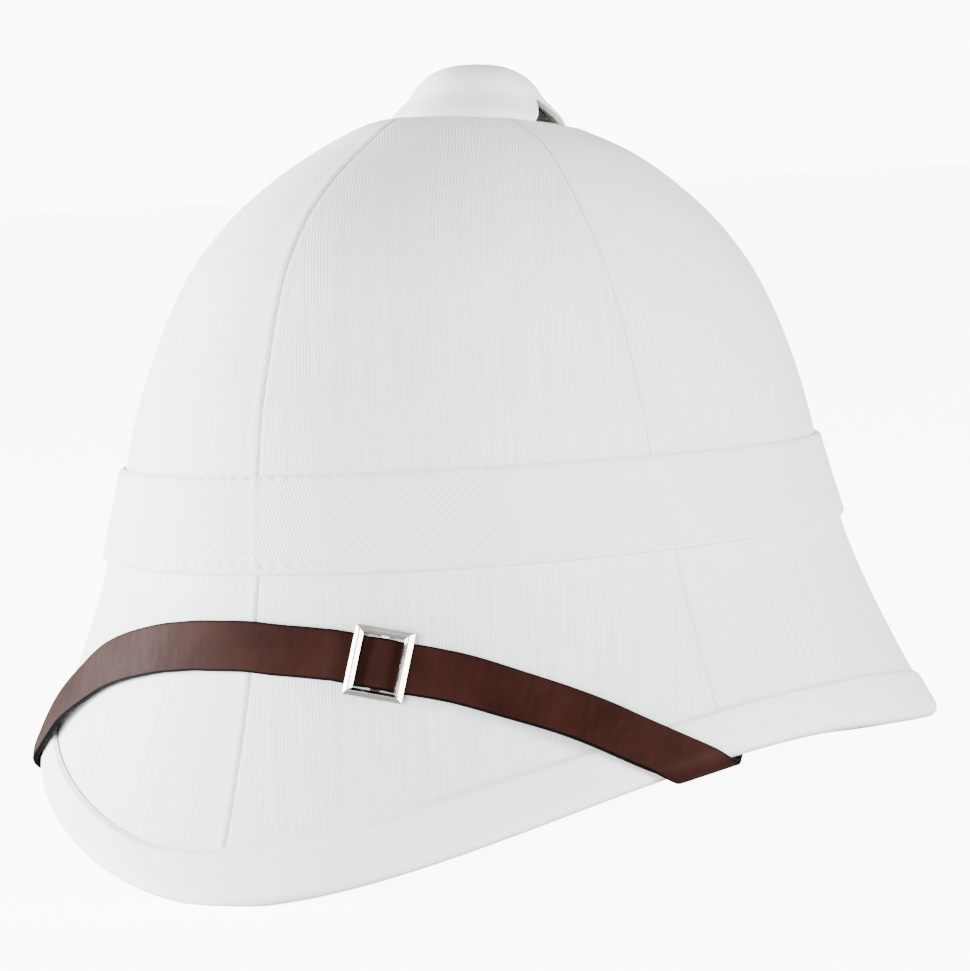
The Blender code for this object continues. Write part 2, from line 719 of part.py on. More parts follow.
def square_to_path(turn, place, length):
    """Steps in turn and place that go 1 mm across the strap, square to its middle line."""
    at = turn + STRAP_MIDDLE_TURN
    step = 0.25
    turned = (wrapped_point(at + step, place, 0.0) - wrapped_point(at - step, place, 0.0)) / (2.0 * step)
    moved = (wrapped_point(at, place + step, 0.0) - wrapped_point(at, place - step, 0.0)) / (2.0 * step)
    run, rise = np.gradient(turn, length), np.gradient(place, length)
    turned_turned = (turned * turned).sum(axis=1)
    turned_moved = (turned * moved).sum(axis=1)
    moved_moved = (moved * moved).sum(axis=1)
    side_turn = -(turned_moved * run + moved_moved * rise)
    side_place = turned_turned * run + turned_moved * rise
    across = turned * side_turn[:, None] + moved * side_place[:, None]
    size = np.linalg.norm(across, axis=1)
    return side_turn / size, side_place / size


def strap_grid():
    """Outer and inner face points of the strap."""
    turn, place, length = strap_line()
    stops, buckle = strap_stops(turn, place, length)
    middle_turn = np.interp(stops, length, turn)
    middle_place = np.interp(stops, length, place)
    side_turn, side_place = square_to_path(middle_turn, middle_place, stops)
    from_buckle = np.abs(stops - buckle)
    hump = STRAP_HUMP * ease((STRAP_HUMP_FOOT - from_buckle) / (STRAP_HUMP_FOOT - STRAP_HUMP_FLAT))
    held = ease(1.0 - (from_buckle - STRAP_FLAT_HALF_LENGTH) / STRAP_FLAT_FADE)
    frame = strap_frame(BUCKLE_TURN)
    outer, inner = [], []
    for across in np.linspace(-STRAP_WIDTH / 2.0, STRAP_WIDTH / 2.0, STRAP_ACROSS):
        turns = middle_turn + STRAP_MIDDLE_TURN + side_turn * across
        places = middle_place + side_place * across
        for face, height in ((inner, hump), (outer, hump + STRAP_THICKNESS)):
            points = wrapped_point(turns, places, height)
            level = (points - frame.centre) @ frame.out
            face.append(points + ((height - level) * held)[:, None] * frame.out)
    return np.stack(outer, axis=1), np.stack(inner, axis=1)


StrapFrame = namedtuple("StrapFrame", "centre along across out")


def strap_frame(turn):
    """A level frame on the strap's seat at one turn from its middle."""
    step = 0.5
    turns = np.array([turn - step, turn, turn + step])
    line = wrapped_point(turns + STRAP_MIDDLE_TURN, strap_place(turns), 0.0)
    lifted = wrapped_point(turn + STRAP_MIDDLE_TURN, strap_place(turn), 1.0)[0]
    out = unit(lifted - line[1])
    across = unit(np.cross(out, line[2] - line[0]))
    return StrapFrame(line[1], np.cross(across, out), across, out)


def strap_matrix(turn, height, place):
    """World matrix of the strap's frame, a height out of it: X along the strap, Z out of it."""
    frame = strap_frame(turn)
    centre = frame.centre + frame.out * height
    origin = place(centre)
    axes = [(place(centre + axis) - origin) / MM for axis in (frame.along, frame.across, frame.out)]
    matrix = Matrix([axis.tolist() for axis in axes]).transposed().to_4x4()
    matrix.translation = Vector(origin.tolist())
    return matrix


def add_block(shape, low, high):
    """Add a closed block between two corners to a bmesh."""
    made = bmesh.ops.create_cube(shape, size=1.0)["verts"]
    size = [upper - lower for lower, upper in zip(low, high)]
    middle = [(upper + lower) / 2.0 for lower, upper in zip(low, high)]
    bmesh.ops.scale(shape, vec=size, verts=made)
    bmesh.ops.translate(shape, vec=middle, verts=made)


def block_object(name, low, high, material):
    """A block as an object of its own, in metres."""
    mesh = bpy.data.meshes.new(name)
    shape = bmesh.new()
    add_block(shape, [value * MM for value in low], [value * MM for value in high])
    shape.to_mesh(mesh)
    shape.free()
    if material:
        mesh.materials.append(material)
    made = bpy.data.objects.new(name, mesh)
    bpy.context.scene.collection.objects.link(made)
    return made


def make_buckle(material, place):
    """A slide buckle: a frame with two windows and a low centre bar the strap rises over."""
    seat = -STRAP_LIFT
    half_length, half_width = BUCKLE_LENGTH / 2.0, BUCKLE_WIDTH / 2.0
    inner_length, inner_width = half_length - BUCKLE_SIDE_BAR, half_width - BUCKLE_END_BAR
    centre = BUCKLE_CENTRE_BAR / 2.0
    foot, top = BUCKLE_CENTRE_BAR_FOOT + seat, BUCKLE_FRAME_TOP + seat
    bar_top, side_foot = BUCKLE_CENTRE_BAR_TOP + seat, BUCKLE_SIDE_FOOT + seat
    low, high = (-half_length, -half_width, foot), (half_length, half_width, top)
    buckle = block_object("buckle", low, high, material)
    bevel = buckle.modifiers.new("bevel", "BEVEL")
    bevel.width = BUCKLE_BEVEL * MM
    bevel.segments = 1
    bevel.limit_method = "ANGLE"
    beyond = 1.0
    below, above = foot - beyond, top + beyond
    cuts = (
        ("buckle_upper_window", -inner_length, inner_length, bar_top, above),
        ("buckle_near_window", -inner_length, -centre, below, above),
        ("buckle_far_window", centre, inner_length, below, above),
        ("buckle_near_way", -half_length - beyond, -centre, below, side_foot),
        ("buckle_far_way", centre, half_length + beyond, below, side_foot),
    )
    matrix = strap_matrix(BUCKLE_TURN, 0.0, place)
    for name, near, far, cut_foot, cut_top in cuts:
        corners = (near, -inner_width, cut_foot), (far, inner_width, cut_top)
        cutter = block_object(name, *corners, None)
        cutter.matrix_world = matrix
        hide_helper(cutter)
        cut(buckle, cutter)
    buckle.matrix_world = matrix
    return buckle


def make_stud(name, turn, material, place):
    """A plain riveted stud: its head lies on the strap, its shank passes through it."""
    shank_foot = GAP - STRAP_NOSE_LIFT
    head_foot = STRAP_THICKNESS + GAP + 0.1
    profile = (
        ProfilePoint(STUD_SHANK_RADIUS, shank_foot),
        ProfilePoint(STUD_SHANK_RADIUS, head_foot),
        ProfilePoint(STUD_HEAD_RADIUS, head_foot),
        ProfilePoint(STUD_HEAD_RADIUS, head_foot + STUD_HEAD_THICKNESS / 2.0),
        ProfilePoint(STUD_HEAD_RADIUS * 0.8, head_foot + STUD_HEAD_THICKNESS),
    )
    turns = np.arange(STUD_SIDES) * (2.0 * math.pi / STUD_SIDES)
    points = [(point.radius * math.cos(angle), point.radius * math.sin(angle), point.height)
              for point in profile for angle in turns]
    faces = grid_faces(len(profile), STUD_SIDES, closed=True)
    faces.append(tuple(range(STUD_SIDES)))
    faces.append(tuple(range((len(profile) - 1) * STUD_SIDES, len(profile) * STUD_SIDES)))
    stud = make_object(name, np.array(points) * MM, faces, material)
    stud.matrix_world = strap_matrix(turn, 0.0, place)
    return stud


def make_hole_cutter(name, turn, place):
    """A round cutter for the strap's stud hole."""
    mesh = bpy.data.meshes.new(name)
    shape = bmesh.new()
    bmesh.ops.create_cone(shape, cap_ends=True, segments=12, radius1=STUD_HOLE_RADIUS * MM,
                          radius2=STUD_HOLE_RADIUS * MM, depth=4.0 * STRAP_THICKNESS * MM)
    shape.to_mesh(mesh)
    shape.free()
    cutter = bpy.data.objects.new(name, mesh)
    bpy.context.scene.collection.objects.link(cutter)
    cutter.matrix_world = strap_matrix(turn, STRAP_THICKNESS / 2.0, place)
    hide_helper(cutter)
    return cutter


def make_strap_and_studs(leather, brass, place):
    """The strap with its two stud holes, and the studs."""
    outer, inner = strap_grid()
    strap = make_sheet_body("chin_strap", outer, inner, leather, place)
    turn, _, length = strap_line()
    stud_turn = float(np.interp(length[-1] - STUD_FROM_END, length, turn))
    for side, turned in (("left", stud_turn), ("right", -stud_turn)):
        cut(strap, make_hole_cutter(f"strap_hole_{side}", turned, place))
        make_stud(f"strap_stud_{side}", turned, brass, place)
    return strap


def clear_scene():
    """Remove every object of the scene."""
    for item in list(bpy.data.objects):
        bpy.data.objects.remove(item, do_unlink=True)


def main():
    """Build every piece in the rest pose."""
    clear_scene()
    cork = make_material("pressed_cork", (0.42, 0.27, 0.15), 0.9)
    cotton = make_material("white_cotton", (0.72, 0.74, 0.76), 0.9)
    gauze = make_material("metal_gauze", (0.12, 0.11, 0.10), 0.5, 0.8)
    leather = make_material("brown_leather", (0.10, 0.035, 0.018), 0.4)
    steel = make_material("plated_steel", (0.62, 0.60, 0.57), 0.25, 1.0)
    brass = make_material("brass", (0.60, 0.42, 0.16), 0.35, 1.0)

    binding = binding_rows()
    place = RestFrame(np.stack(binding))
    make_cork_shell(cloth_rings(ANGLES), cork, place)
    for number in range(1, GORES + 1):
        make_cover_panel(number, cotton, place)
    make_ring_body("brim_binding", binding, cotton, place.on_floor)
    make_puggaree(cotton, place)
    vent_cap = make_turned_cup("vent_cap", CAP_PROFILE, CAP_WALL, CAP_SEGMENTS, cotton, place)
    cut(vent_cap, make_vent_cutter(place))
    make_turned_cup("vent_gauze", GAUZE_PROFILE, GAUZE_WALL, GAUZE_SEGMENTS, gauze, place)
    make_strap_and_studs(leather, brass, place)
    make_buckle(steel, place)


main()
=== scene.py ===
"""White pith helmet, dressed: cloth gores on a cork body, bound brim, hat band, ventilator
cap with wire gauze, and a brown leather chin strap with a slide buckle.

The helmet is drawn in millimetres with its front towards -Y, the wearer's left towards +X
and its front tip at height 0. An angle round it is 0 at the front and grows towards the
wearer's left. RestPose then tips every point back until both tips of the brim stand on the
floor, and turns it to metres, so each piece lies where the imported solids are.
"""

import logging
import math
from dataclasses import dataclass, field, replace
from enum import Enum
from functools import partial
from typing import Any, Callable, Sequence

import bmesh
import bpy
import numpy as np
from bpy.types import ID, Material, Node, NodeSocket, NodeTree, Object
from mathutils import Matrix, Vector


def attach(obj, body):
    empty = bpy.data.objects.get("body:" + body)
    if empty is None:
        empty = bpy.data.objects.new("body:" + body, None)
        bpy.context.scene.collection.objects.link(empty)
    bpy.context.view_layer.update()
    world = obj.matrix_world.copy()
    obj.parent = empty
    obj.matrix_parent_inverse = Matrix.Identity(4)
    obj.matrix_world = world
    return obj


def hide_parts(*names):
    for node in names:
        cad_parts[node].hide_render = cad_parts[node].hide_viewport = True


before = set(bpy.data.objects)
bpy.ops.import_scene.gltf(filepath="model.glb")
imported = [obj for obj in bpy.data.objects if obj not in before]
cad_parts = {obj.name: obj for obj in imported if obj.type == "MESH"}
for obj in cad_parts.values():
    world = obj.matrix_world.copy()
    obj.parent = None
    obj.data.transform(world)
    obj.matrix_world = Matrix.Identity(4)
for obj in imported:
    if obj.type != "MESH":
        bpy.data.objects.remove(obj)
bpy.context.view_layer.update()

Array = np.ndarray
Curve = Callable[[Any], Any]
Surface = Callable[[Any, Any], Array]
Adder = Callable[..., Node]

LOG = logging.getLogger("pith_helmet")
MM = 0.001
FULL_TURN = 2.0 * math.pi
UV_NAME = "cloth"            # every piece's own map, one unit to a metre
WAVE_PERIOD = FULL_TURN / 20.0  # the wave texture repeats at this distance at scale 1
NOISE_LOW = 0.3              # most of a noise texture's values lie between these two
NOISE_HIGH = 0.7


# Small mathematics -----------------------------------------------------------------------

def unit(vectors: Array) -> Array:
    """Scale the vectors in the last axis to length one."""
    return vectors / np.linalg.norm(vectors, axis=-1, keepdims=True)


def ease(share: Any) -> Any:
    """Smooth step from 0 to 1."""
    share = np.clip(share, 0.0, 1.0)
    return share * share * (3.0 - 2.0 * share)


def bell(distance: Any, width: float) -> Any:
    """A soft bump that is 1 at distance 0 and fades over the width."""
    return np.exp(-(np.asarray(distance) / width) ** 2)


def together(*values: Any) -> tuple[Array, ...]:
    """The values as arrays of one shape."""
    return np.broadcast_arrays(*(np.asarray(value, float) for value in values))


def turns_round(count: int) -> Array:
    """Angles evenly spaced round a full turn, from 0."""
    return np.arange(count) * (FULL_TURN / count)


def smooth_through(places: Sequence[float], values: Sequence[float]) -> Curve:
    """Make a smooth curve through points that never overshoots between them.

    Args:
        places: Where the points lie, in rising order.
        values: The value at each place.

    Returns:
        A function of a place, or of an array of places.
    """
    places = np.asarray(places, float)
    values = np.asarray(values, float)
    steps = np.diff(places)
    slopes = np.diff(values) / steps
    tangents = np.zeros_like(values)
    tangents[0] = slopes[0]
    tangents[-1] = slopes[-1]
    for index in range(1, len(places) - 1):
        before, after = slopes[index - 1], slopes[index]
        if before * after > 0.0:
            weight_before = 2.0 * steps[index] + steps[index - 1]
            weight_after = steps[index] + 2.0 * steps[index - 1]
            total = weight_before + weight_after
            tangents[index] = total / (weight_before / before + weight_after / after)

    def curve(where: Any) -> Any:
        """The curve's value at a place, or at each of an array of places."""
        where = np.clip(where, places[0], places[-1])
        cell = np.clip(np.searchsorted(places, where, side="right") - 1, 0, len(steps) - 1)
        width = steps[cell]
        share = (where - places[cell]) / width
        rest = 1.0 - share
        start = values[cell] * (1.0 + 2.0 * share) * rest ** 2
        end = values[cell + 1] * (1.0 + 2.0 * rest) * share ** 2
        bends = (tangents[cell] * rest - tangents[cell + 1] * share) * share * rest * width
        return start + end + bends

    return curve


def lengths_along(points: Array, axis: int) -> Array:
    """Running length of the lines of a grid of points along one of its axes, from 0."""
    steps = np.linalg.norm(np.diff(points, axis=axis), axis=-1)
    runs = np.cumsum(steps, axis=axis)
    start = np.zeros_like(np.take(runs, [0], axis=axis))
    return np.concatenate([start, runs], axis=axis)


# The helmet's form -----------------------------------------------------------------------

@dataclass(frozen=True)
class CrownSection:
    """Radii of a level section of the crown, at a share of its height."""

    share: float
    side: float
    front: float
    back: float


@dataclass(frozen=True)
class Flare:
    """How the brim leaves the crown: a straight share, and the power of the curved rest."""

    straight: float
    power: float


@dataclass
class Ring:
    """Points of the cloth with the unit directions down it and out of it."""

    points: Array
    down: Array
    out: Array

    def lifted(self, height: Any) -> Array:
        """Points moved out of the cloth by a height, or in by a negative one."""
        return self.points + self.out * np.asarray(height)[..., None]


@dataclass
class HelmetForm:
    """The outer cloth surface of the helmet, which every other piece is set against."""

    sections: tuple[CrownSection, ...] = (
        CrownSection(0.00, 105.0, 123.5, 109.0), CrownSection(0.15, 98.5, 123.5, 107.5),
        CrownSection(0.30, 93.5, 122.0, 105.5), CrownSection(0.45, 87.0, 117.0, 102.0),
        CrownSection(0.60, 78.0, 110.0, 96.6), CrownSection(0.72, 67.2, 98.9, 88.7),
        CrownSection(0.82, 55.1, 83.1, 75.2), CrownSection(0.90, 42.4, 65.3, 59.5),
        CrownSection(0.955, 28.6, 51.3, 46.8), CrownSection(0.968, 24.6, 44.8, 40.8),
        CrownSection(0.975, 18.0, 28.5, 27.0), CrownSection(0.982, 9.0, 9.0, 9.0),
    )
    base_height: float = 99.0
    base_tilt: float = 0.09
    crown_height: float = 223.5
    crown_lean: float = 1.2
    brim_side: float = 128.5
    brim_front: float = 147.0
    brim_back: float = 170.0
    front_squareness: float = 1.85
    back_squareness: float = 1.90
    side_height: float = 44.0
    back_height: float = 32.0
    front_dip: float = 2.50
    back_dip: float = 3.6
    front_flare: Flare = Flare(0.28, 1.62)
    side_flare: Flare = Flare(0.46, 1.15)
    back_flare: Flare = Flare(0.31, 2.29)
    seam_turns: tuple[float, ...] = (0.0, 62.7, 117.3, 180.0, 242.7, 297.3, 360.0)
    gap: float = 0.3
    cloth: float = 1.0
    cork_wall: float = 4.0
    cork_edge_wall: float = 2.0
    cork_edge_reach: float = 3.0
    drops: Array = field(default_factory=lambda: np.linspace(0.0, 1.0, 81))
    tiny: float = 1.0e-4

    def __post_init__(self) -> None:
        """Make the three curves of the crown's radii."""
        shares = [section.share for section in self.sections]
        self.side_curve, self.front_curve, self.back_curve = (
            smooth_through(shares, [getattr(section, side) for section in self.sections])
            for side in ("side", "front", "back"))

    @property
    def vent_hole_share(self) -> float:
        """Share of the crown's height at which its vent hole is cut."""
        return self.sections[-1].share

    @property
    def cork_top(self) -> float:
        """Height of the cork's outer face, under the cloth."""
        return -(self.cloth + self.gap)

    def crown_point(self, angle: Any, share: Any) -> Array:
        """Point of the crown at an angle round and a share of its height."""
        angle, share = together(angle, share)
        sine, cosine = np.sin(angle), np.cos(angle)
        forward = cosine > 0.0
        reach = np.where(forward, self.front_curve(share), self.back_curve(share))
        base_reach = np.where(forward, self.sections[0].front, self.sections[0].back)
        base = self.base_height - self.base_tilt * base_reach * cosine
        return np.stack([
            self.side_curve(share) * sine,
            self.crown_lean * share ** 2 - reach * cosine,
            base + (self.crown_height - base) * share,
        ], axis=-1)

    def brim_edge(self, angle: Any) -> Array:
        """Point of the brim's outer edge at an angle round: a softened ellipse with two dips."""
        sine, cosine = np.sin(angle), np.cos(angle)
        forward = cosine > 0.0
        reach = np.where(forward, self.brim_front, self.brim_back)
        squareness = np.where(forward, self.front_squareness, self.back_squareness)
        front_dip = np.clip(cosine, 0.0, 1.0) ** self.front_dip
        back_dip = np.clip(-cosine, 0.0, 1.0) ** self.back_dip
        height = self.side_height * (1.0 - front_dip)
        height = height + (self.back_height - self.side_height) * back_dip
        return np.stack([
            self.brim_side * np.sign(sine) * np.abs(sine) ** (2.0 / squareness),
            -reach * np.sign(cosine) * np.abs(cosine) ** (2.0 / squareness),
            height,
        ], axis=-1)

    def brim_point(self, angle: Any, drop: Any) -> Array:
        """Point between the crown's base, at drop 0, and the brim's edge, at drop 1."""
        angle, drop = together(angle, drop)
        base, nose = self.crown_point(angle, 0.0), self.brim_edge(angle)
        ahead = np.clip(np.cos(angle), 0.0, 1.0) ** 2
        behind = np.clip(-np.cos(angle), 0.0, 1.0) ** 2
        front, side, back = self.front_flare, self.side_flare, self.back_flare
        straight = (side.straight + (front.straight - side.straight) * ahead
                    + (back.straight - side.straight) * behind)
        power = side.power + (front.power - side.power) * ahead + (back.power - side.power) * behind
        outward = straight * drop + (1.0 - straight) * np.clip(drop, 0.0, None) ** power
        plan = base[..., :2] + (nose[..., :2] - base[..., :2]) * outward[..., None]
        height = base[..., 2] + (nose[..., 2] - base[..., 2]) * drop
        return np.concatenate([plan, height[..., None]], axis=-1)

    def crown_shares(self, count: int) -> Array:
        """Shares from the vent hole down to the base, evenly spaced down the crown's front."""
        shares = np.linspace(self.vent_hole_share, 0.0, 801)
        run = lengths_along(self.crown_point(np.zeros(801), shares), axis=0)
        return np.interp(np.linspace(0.0, run[-1], count), run, shares)

    def _ring(self, surface: Surface, angle: Array, place: Array, downward: float) -> Ring:
        """Points and directions on one of the two surfaces.

        Args:
            surface: crown_point or brim_point.
            angle: Angles round.
            place: Shares or drops, of the same shape.
            downward: The sign of place going down.

        Returns:
            The ring, with its directions found by small differences.
        """
        across = surface(angle + self.tiny, place) - surface(angle - self.tiny, place)
        low, high = np.maximum(place - self.tiny, 0.0), place + self.tiny
        down = (surface(angle, high) - surface(angle, low)) * downward
        return Ring(surface(angle, place), unit(down), unit(np.cross(down, across)))

    def crown_ring(self, angle: Array, share: Any) -> Ring:
        """Points and directions on the crown."""
        angle, share = together(angle, share)
        return self._ring(self.crown_point, angle, share, -1.0)

    def brim_ring(self, angle: Array, reach: Any) -> Ring:
        """Points and directions on the brim, a distance up from its edge.

        Args:
            angle: Angles round, of any shape.
            reach: Distance from the edge, measured up the surface.

        Returns:
            The ring at those places.
        """
        angle, reach = together(angle, reach)
        flat_angle, flat_reach = angle.ravel(), reach.ravel()
        turns, where = np.unique(flat_angle, return_inverse=True)
        lines = lengths_along(self.brim_point(turns[:, None], self.drops), axis=1)
        drop = np.array([
            np.interp(lines[row][-1] - distance, lines[row], self.drops)
            for row, distance in zip(where, flat_reach)
        ]).reshape(angle.shape)
        return self._ring(self.brim_point, angle, drop, 1.0)

    def brim_length(self, angle: Any) -> Array:
        """Distance from the crown's base to the brim's edge at each angle."""
        line = self.brim_point(np.asarray(angle, float)[..., None], self.drops)
        return np.linalg.norm(np.diff(line, axis=-2), axis=-1).sum(axis=-1)

    def base_ring(self, angle: Array) -> Ring:
        """The crown's base, with the mean of the crown's and the brim's directions."""
        crown, brim = self.crown_ring(angle, 0.0), self.brim_ring(angle, self.brim_length(angle))
        return Ring(crown.points, unit(crown.down + brim.down), unit(crown.out + brim.out))

    def brim_wall(self, share: Any) -> Any:
        """Cork thickness by the share of the way from the binding up to the crown's base."""
        return self.cork_edge_wall + (self.cork_wall - self.cork_edge_wall) * np.clip(share, 0.0, 1.0)

    def crown_height_at(self, x: float, y: float) -> float:
        """Height of the crown's cloth over one place in plan.

        Args:
            x: Millimetres to the wearer's left.
            y: Millimetres to the back.

        Returns:
            The height.
        """
        low, high = 0.5, self.vent_hole_share
        for _ in range(40):
            share = (low + high) / 2.0
            forward = self.crown_lean * share ** 2 - y
            reach = self.front_curve(share) if forward > 0.0 else self.back_curve(share)
            side = self.side_curve(share)
            if math.hypot(x / side, forward / reach) < 1.0:
                low = share
            else:
                high = share
        return float(self.crown_point(math.atan2(x / side, forward / reach), share)[2])


@dataclass
class RestPose:
    """Moves drawn points into the pose in which both tips of the brim stand on the floor."""

    pitch: float = 0.0
    shift: Array = field(default_factory=lambda: np.zeros(3))
    flattened: float = 0.8       # the cloth nose gives this much where a tip stands

    def tipped(self, points: Array) -> Array:
        """Turn points about the X axis, the back going down."""
        sine, cosine = math.sin(self.pitch), math.cos(self.pitch)
        x, y, z = points[..., 0], points[..., 1], points[..., 2]
        return np.stack([x, y * cosine + z * sine, z * cosine - y * sine], axis=-1)

    def settle(self, points: Array) -> None:
        """Find the pitch that levels the two tips, and the shift to the floor and the middle."""
        points = points.reshape(-1, 3)
        for _ in range(8):
            tipped = self.tipped(points)
            front, back = tipped[tipped[:, 1] < 0.0], tipped[tipped[:, 1] > 0.0]
            front_low, back_low = front[front[:, 2].argmin()], back[back[:, 2].argmin()]
            self.pitch += math.atan2(back_low[2] - front_low[2], back_low[1] - front_low[1])
        tipped = self.tipped(points)
        middle = (tipped[:, 1].max() + tipped[:, 1].min()) / 2.0
        self.shift = np.array([0.0, -middle, -(tipped[:, 2].min() + self.flattened)])

    def __call__(self, points: Any) -> Array:
        """Drawn points in millimetres, placed at rest in metres."""
        return (self.tipped(np.asarray(points, float)) + self.shift) * MM

    def on_floor(self, points: Any) -> Array:
        """The same, with what would pass the floor flattened on it."""
        placed = self(points)
        placed[..., 2] = np.maximum(placed[..., 2], 0.0)
        return placed


# Meshes ----------------------------------------------------------------------------------

# Sides of a block whose corners 0 to 3 go round its foot and 4 to 7 round its top.
BLOCK_FACES = [(0, 3, 2, 1), (4, 5, 6, 7), (0, 1, 5, 4), (1, 2, 6, 5), (2, 3, 7, 6), (3, 0, 4, 7)]


def new_object(name: str, data: ID) -> Object:
    """Add an object to the scene, at the origin."""
    made = bpy.data.objects.new(name, data)
    bpy.context.scene.collection.objects.link(made)
    return made


def grid_faces(rows: int, columns: int, closed: bool) -> list[tuple[int, ...]]:
    """Quads of a grid of points.

    Args:
        rows: How many rows it has.
        columns: How many columns.
        closed: Whether the last column joins the first.

    Returns:
        Each quad as four point numbers, row by row.
    """
    faces = []
    for row in range(rows - 1):
        for column in range(columns if closed else columns - 1):
            following = (column + 1) % columns
            here, right = row * columns + column, row * columns + following
            faces.append((here, here + columns, right + columns, right))
    return faces


def mesh_object(name: str, points: Array, faces: Sequence[tuple[int, ...]],
                material: Material, sharp: float = 40.0) -> Object:
    """Make an object at the origin from placed points, with all its faces turned outwards.

    Args:
        name: The piece's name.
        points: Its vertices in metres.
        faces: Its faces, as vertex numbers.
        material: Its material.
        sharp: The angle in degrees from which an edge is shaded sharp.

    Returns:
        The new object.
    """
    mesh = bpy.data.meshes.new(name)
    mesh.from_pydata(points.reshape(-1, 3).tolist(), [], faces)
    shape = bmesh.new()
    shape.from_mesh(mesh)
    bmesh.ops.recalc_face_normals(shape, faces=shape.faces)
    shape.to_mesh(mesh)
    shape.free()
    mesh.shade_smooth()
    mesh.set_sharp_from_angle(angle=math.radians(sharp))
    mesh.materials.append(material)
    return new_object(name, mesh)


def map_cloth(item: Object, along: Array, across: Array, wrap: float = 0.0) -> None:
    """Give a piece its own map in metres.

    Args:
        item: The object.
        along: First coordinate of each vertex, in millimetres.
        across: Second coordinate of each vertex, in millimetres.
        wrap: The whole length round, where the first coordinate runs round a ring.
    """
    mesh = item.data
    corners = np.empty(len(mesh.loops), np.int32)
    mesh.loops.foreach_get("vertex_index", corners)
    first = along.ravel()[corners]
    second = across.ravel()[corners]
    if wrap:
        starts = np.empty(len(mesh.polygons), np.int32)
        totals = np.empty(len(mesh.polygons), np.int32)
        mesh.polygons.foreach_get("loop_start", starts)
        mesh.polygons.foreach_get("loop_total", totals)
        highest = np.repeat(np.maximum.reduceat(first, starts), totals)
        first = np.where(highest - first > wrap / 2.0, first + wrap, first)
    layer = mesh.uv_layers.new(name=UV_NAME)
    layer.data.foreach_set("uv", (np.stack([first, second], axis=-1) * MM).ravel().astype(np.float32))


def ring_body(name: str, rows: Array, material: Material,
              place: Callable[[Any], Array]) -> Object:
    """Close rows of points into a ring whose last row joins its first, and map it.

    Args:
        name: The piece's name.
        rows: Drawn points, rows of its cross-section by columns round.
        material: Its material.
        place: Turns drawn points into placed ones.

    Returns:
        The ring, mapped along its length and across its cross-section.
    """
    count, columns = rows.shape[:2]
    faces = [tuple(index % (count * columns) for index in face)
             for face in grid_faces(count + 1, columns, closed=True)]
    made = mesh_object(name, place(rows), faces, material)
    looped = np.concatenate([rows, rows[:, :1]], axis=1)
    along = lengths_along(looped, axis=1)
    wrap = float(along[0, -1])
    along = np.broadcast_to(along[0, :-1], (count, columns))
    across = np.broadcast_to(lengths_along(rows, axis=0)[:, :1], (count, columns))
    map_cloth(made, along, across, wrap)
    return made


def sheet_body(name: str, outer: Array, inner: Array, material: Material,
               place: Callable[[Any], Array]) -> Object:
    """Close two equal grids of points into a sheet with edges.

    Args:
        name: The piece's name.
        outer: Drawn points of its outer face, rows by columns.
        inner: Drawn points of its inner face.
        material: Its material.
        place: Turns drawn points into placed ones.

    Returns:
        The sheet.
    """
    rows, columns = outer.shape[:2]
    size = rows * columns
    points = place(np.concatenate([outer.reshape(-1, 3), inner.reshape(-1, 3)]))
    faces = grid_faces(rows, columns, closed=False)
    faces += [tuple(index + size for index in reversed(face)) for face in faces]
    border = list(range(columns))
    border += [row * columns + columns - 1 for row in range(1, rows)]
    border += [(rows - 1) * columns + column for column in range(columns - 2, -1, -1)]
    border += [row * columns for row in range(rows - 2, 0, -1)]
    for here, following in zip(border, border[1:] + border[:1]):
        faces.append((here, following, following + size, here + size))
    return mesh_object(name, points, faces, material)


def baked(item: Object) -> Object:
    """Turn an object's modifiers into its plain mesh."""
    evaluated = item.evaluated_get(bpy.context.evaluated_depsgraph_get())
    mesh = bpy.data.meshes.new_from_object(evaluated)
    mesh.name = item.name
    item.modifiers.clear()
    item.data = mesh
    return item


def cut_out(item: Object, cutter: Object) -> None:
    """Cut a shape out of a piece, then delete the shape.

    Args:
        item: The piece.
        cutter: The shape, whose material goes on the cut.
    """
    cut = item.modifiers.new("cut", "BOOLEAN")
    cut.operation = "DIFFERENCE"
    cut.solver = "EXACT"
    cut.material_mode = "TRANSFER"
    cut.object = cutter
    baked(item)
    bpy.data.objects.remove(cutter, do_unlink=True)


# Finishes --------------------------------------------------------------------------------

def set_inputs(node: Node, inputs: dict[Any, Any]) -> None:
    """Set a node's inputs.

    Args:
        node: The node.
        inputs: For each input, by name or number, a value, another node's output, or another
            node, which stands for its first output.
    """
    for name, value in inputs.items():
        if isinstance(value, Node):
            value = value.outputs[0]
        if isinstance(value, NodeSocket):
            node.id_data.links.new(value, node.inputs[name])
        else:
            node.inputs[name].default_value = value


def add_node(tree: NodeTree, kind: str, settings: dict[str, Any] | None = None,
             inputs: dict[Any, Any] | None = None) -> Node:
    """Add a node to a tree.

    Args:
        tree: The tree.
        kind: The node's Blender type.
        settings: Its properties by name.
        inputs: What each of its inputs gets.

    Returns:
        The node.
    """
    node = tree.nodes.new(kind)
    for name, value in (settings or {}).items():
        setattr(node, name, value)
    set_inputs(node, inputs or {})
    return node


def linear(colour: str) -> tuple[float, float, float, float]:
    """An sRGB hex colour such as "#eef0f1" as linear red, green, blue and full cover."""
    parts = [int(colour[place:place + 2], 16) / 255.0 for place in (1, 3, 5)]
    low = [part / 12.92 if part <= 0.04045 else ((part + 0.055) / 1.055) ** 2.4 for part in parts]
    return (low[0], low[1], low[2], 1.0)


class Run(Enum):
    """Which way the ribs of a cloth run on its map."""

    ACROSS = "lines at one distance across, so the ribs run the whole length of the map"
    ALONG = "lines at one distance along, so the ribs stand upright on the piece"
    TWILL = "lines that climb steeply from left to right"


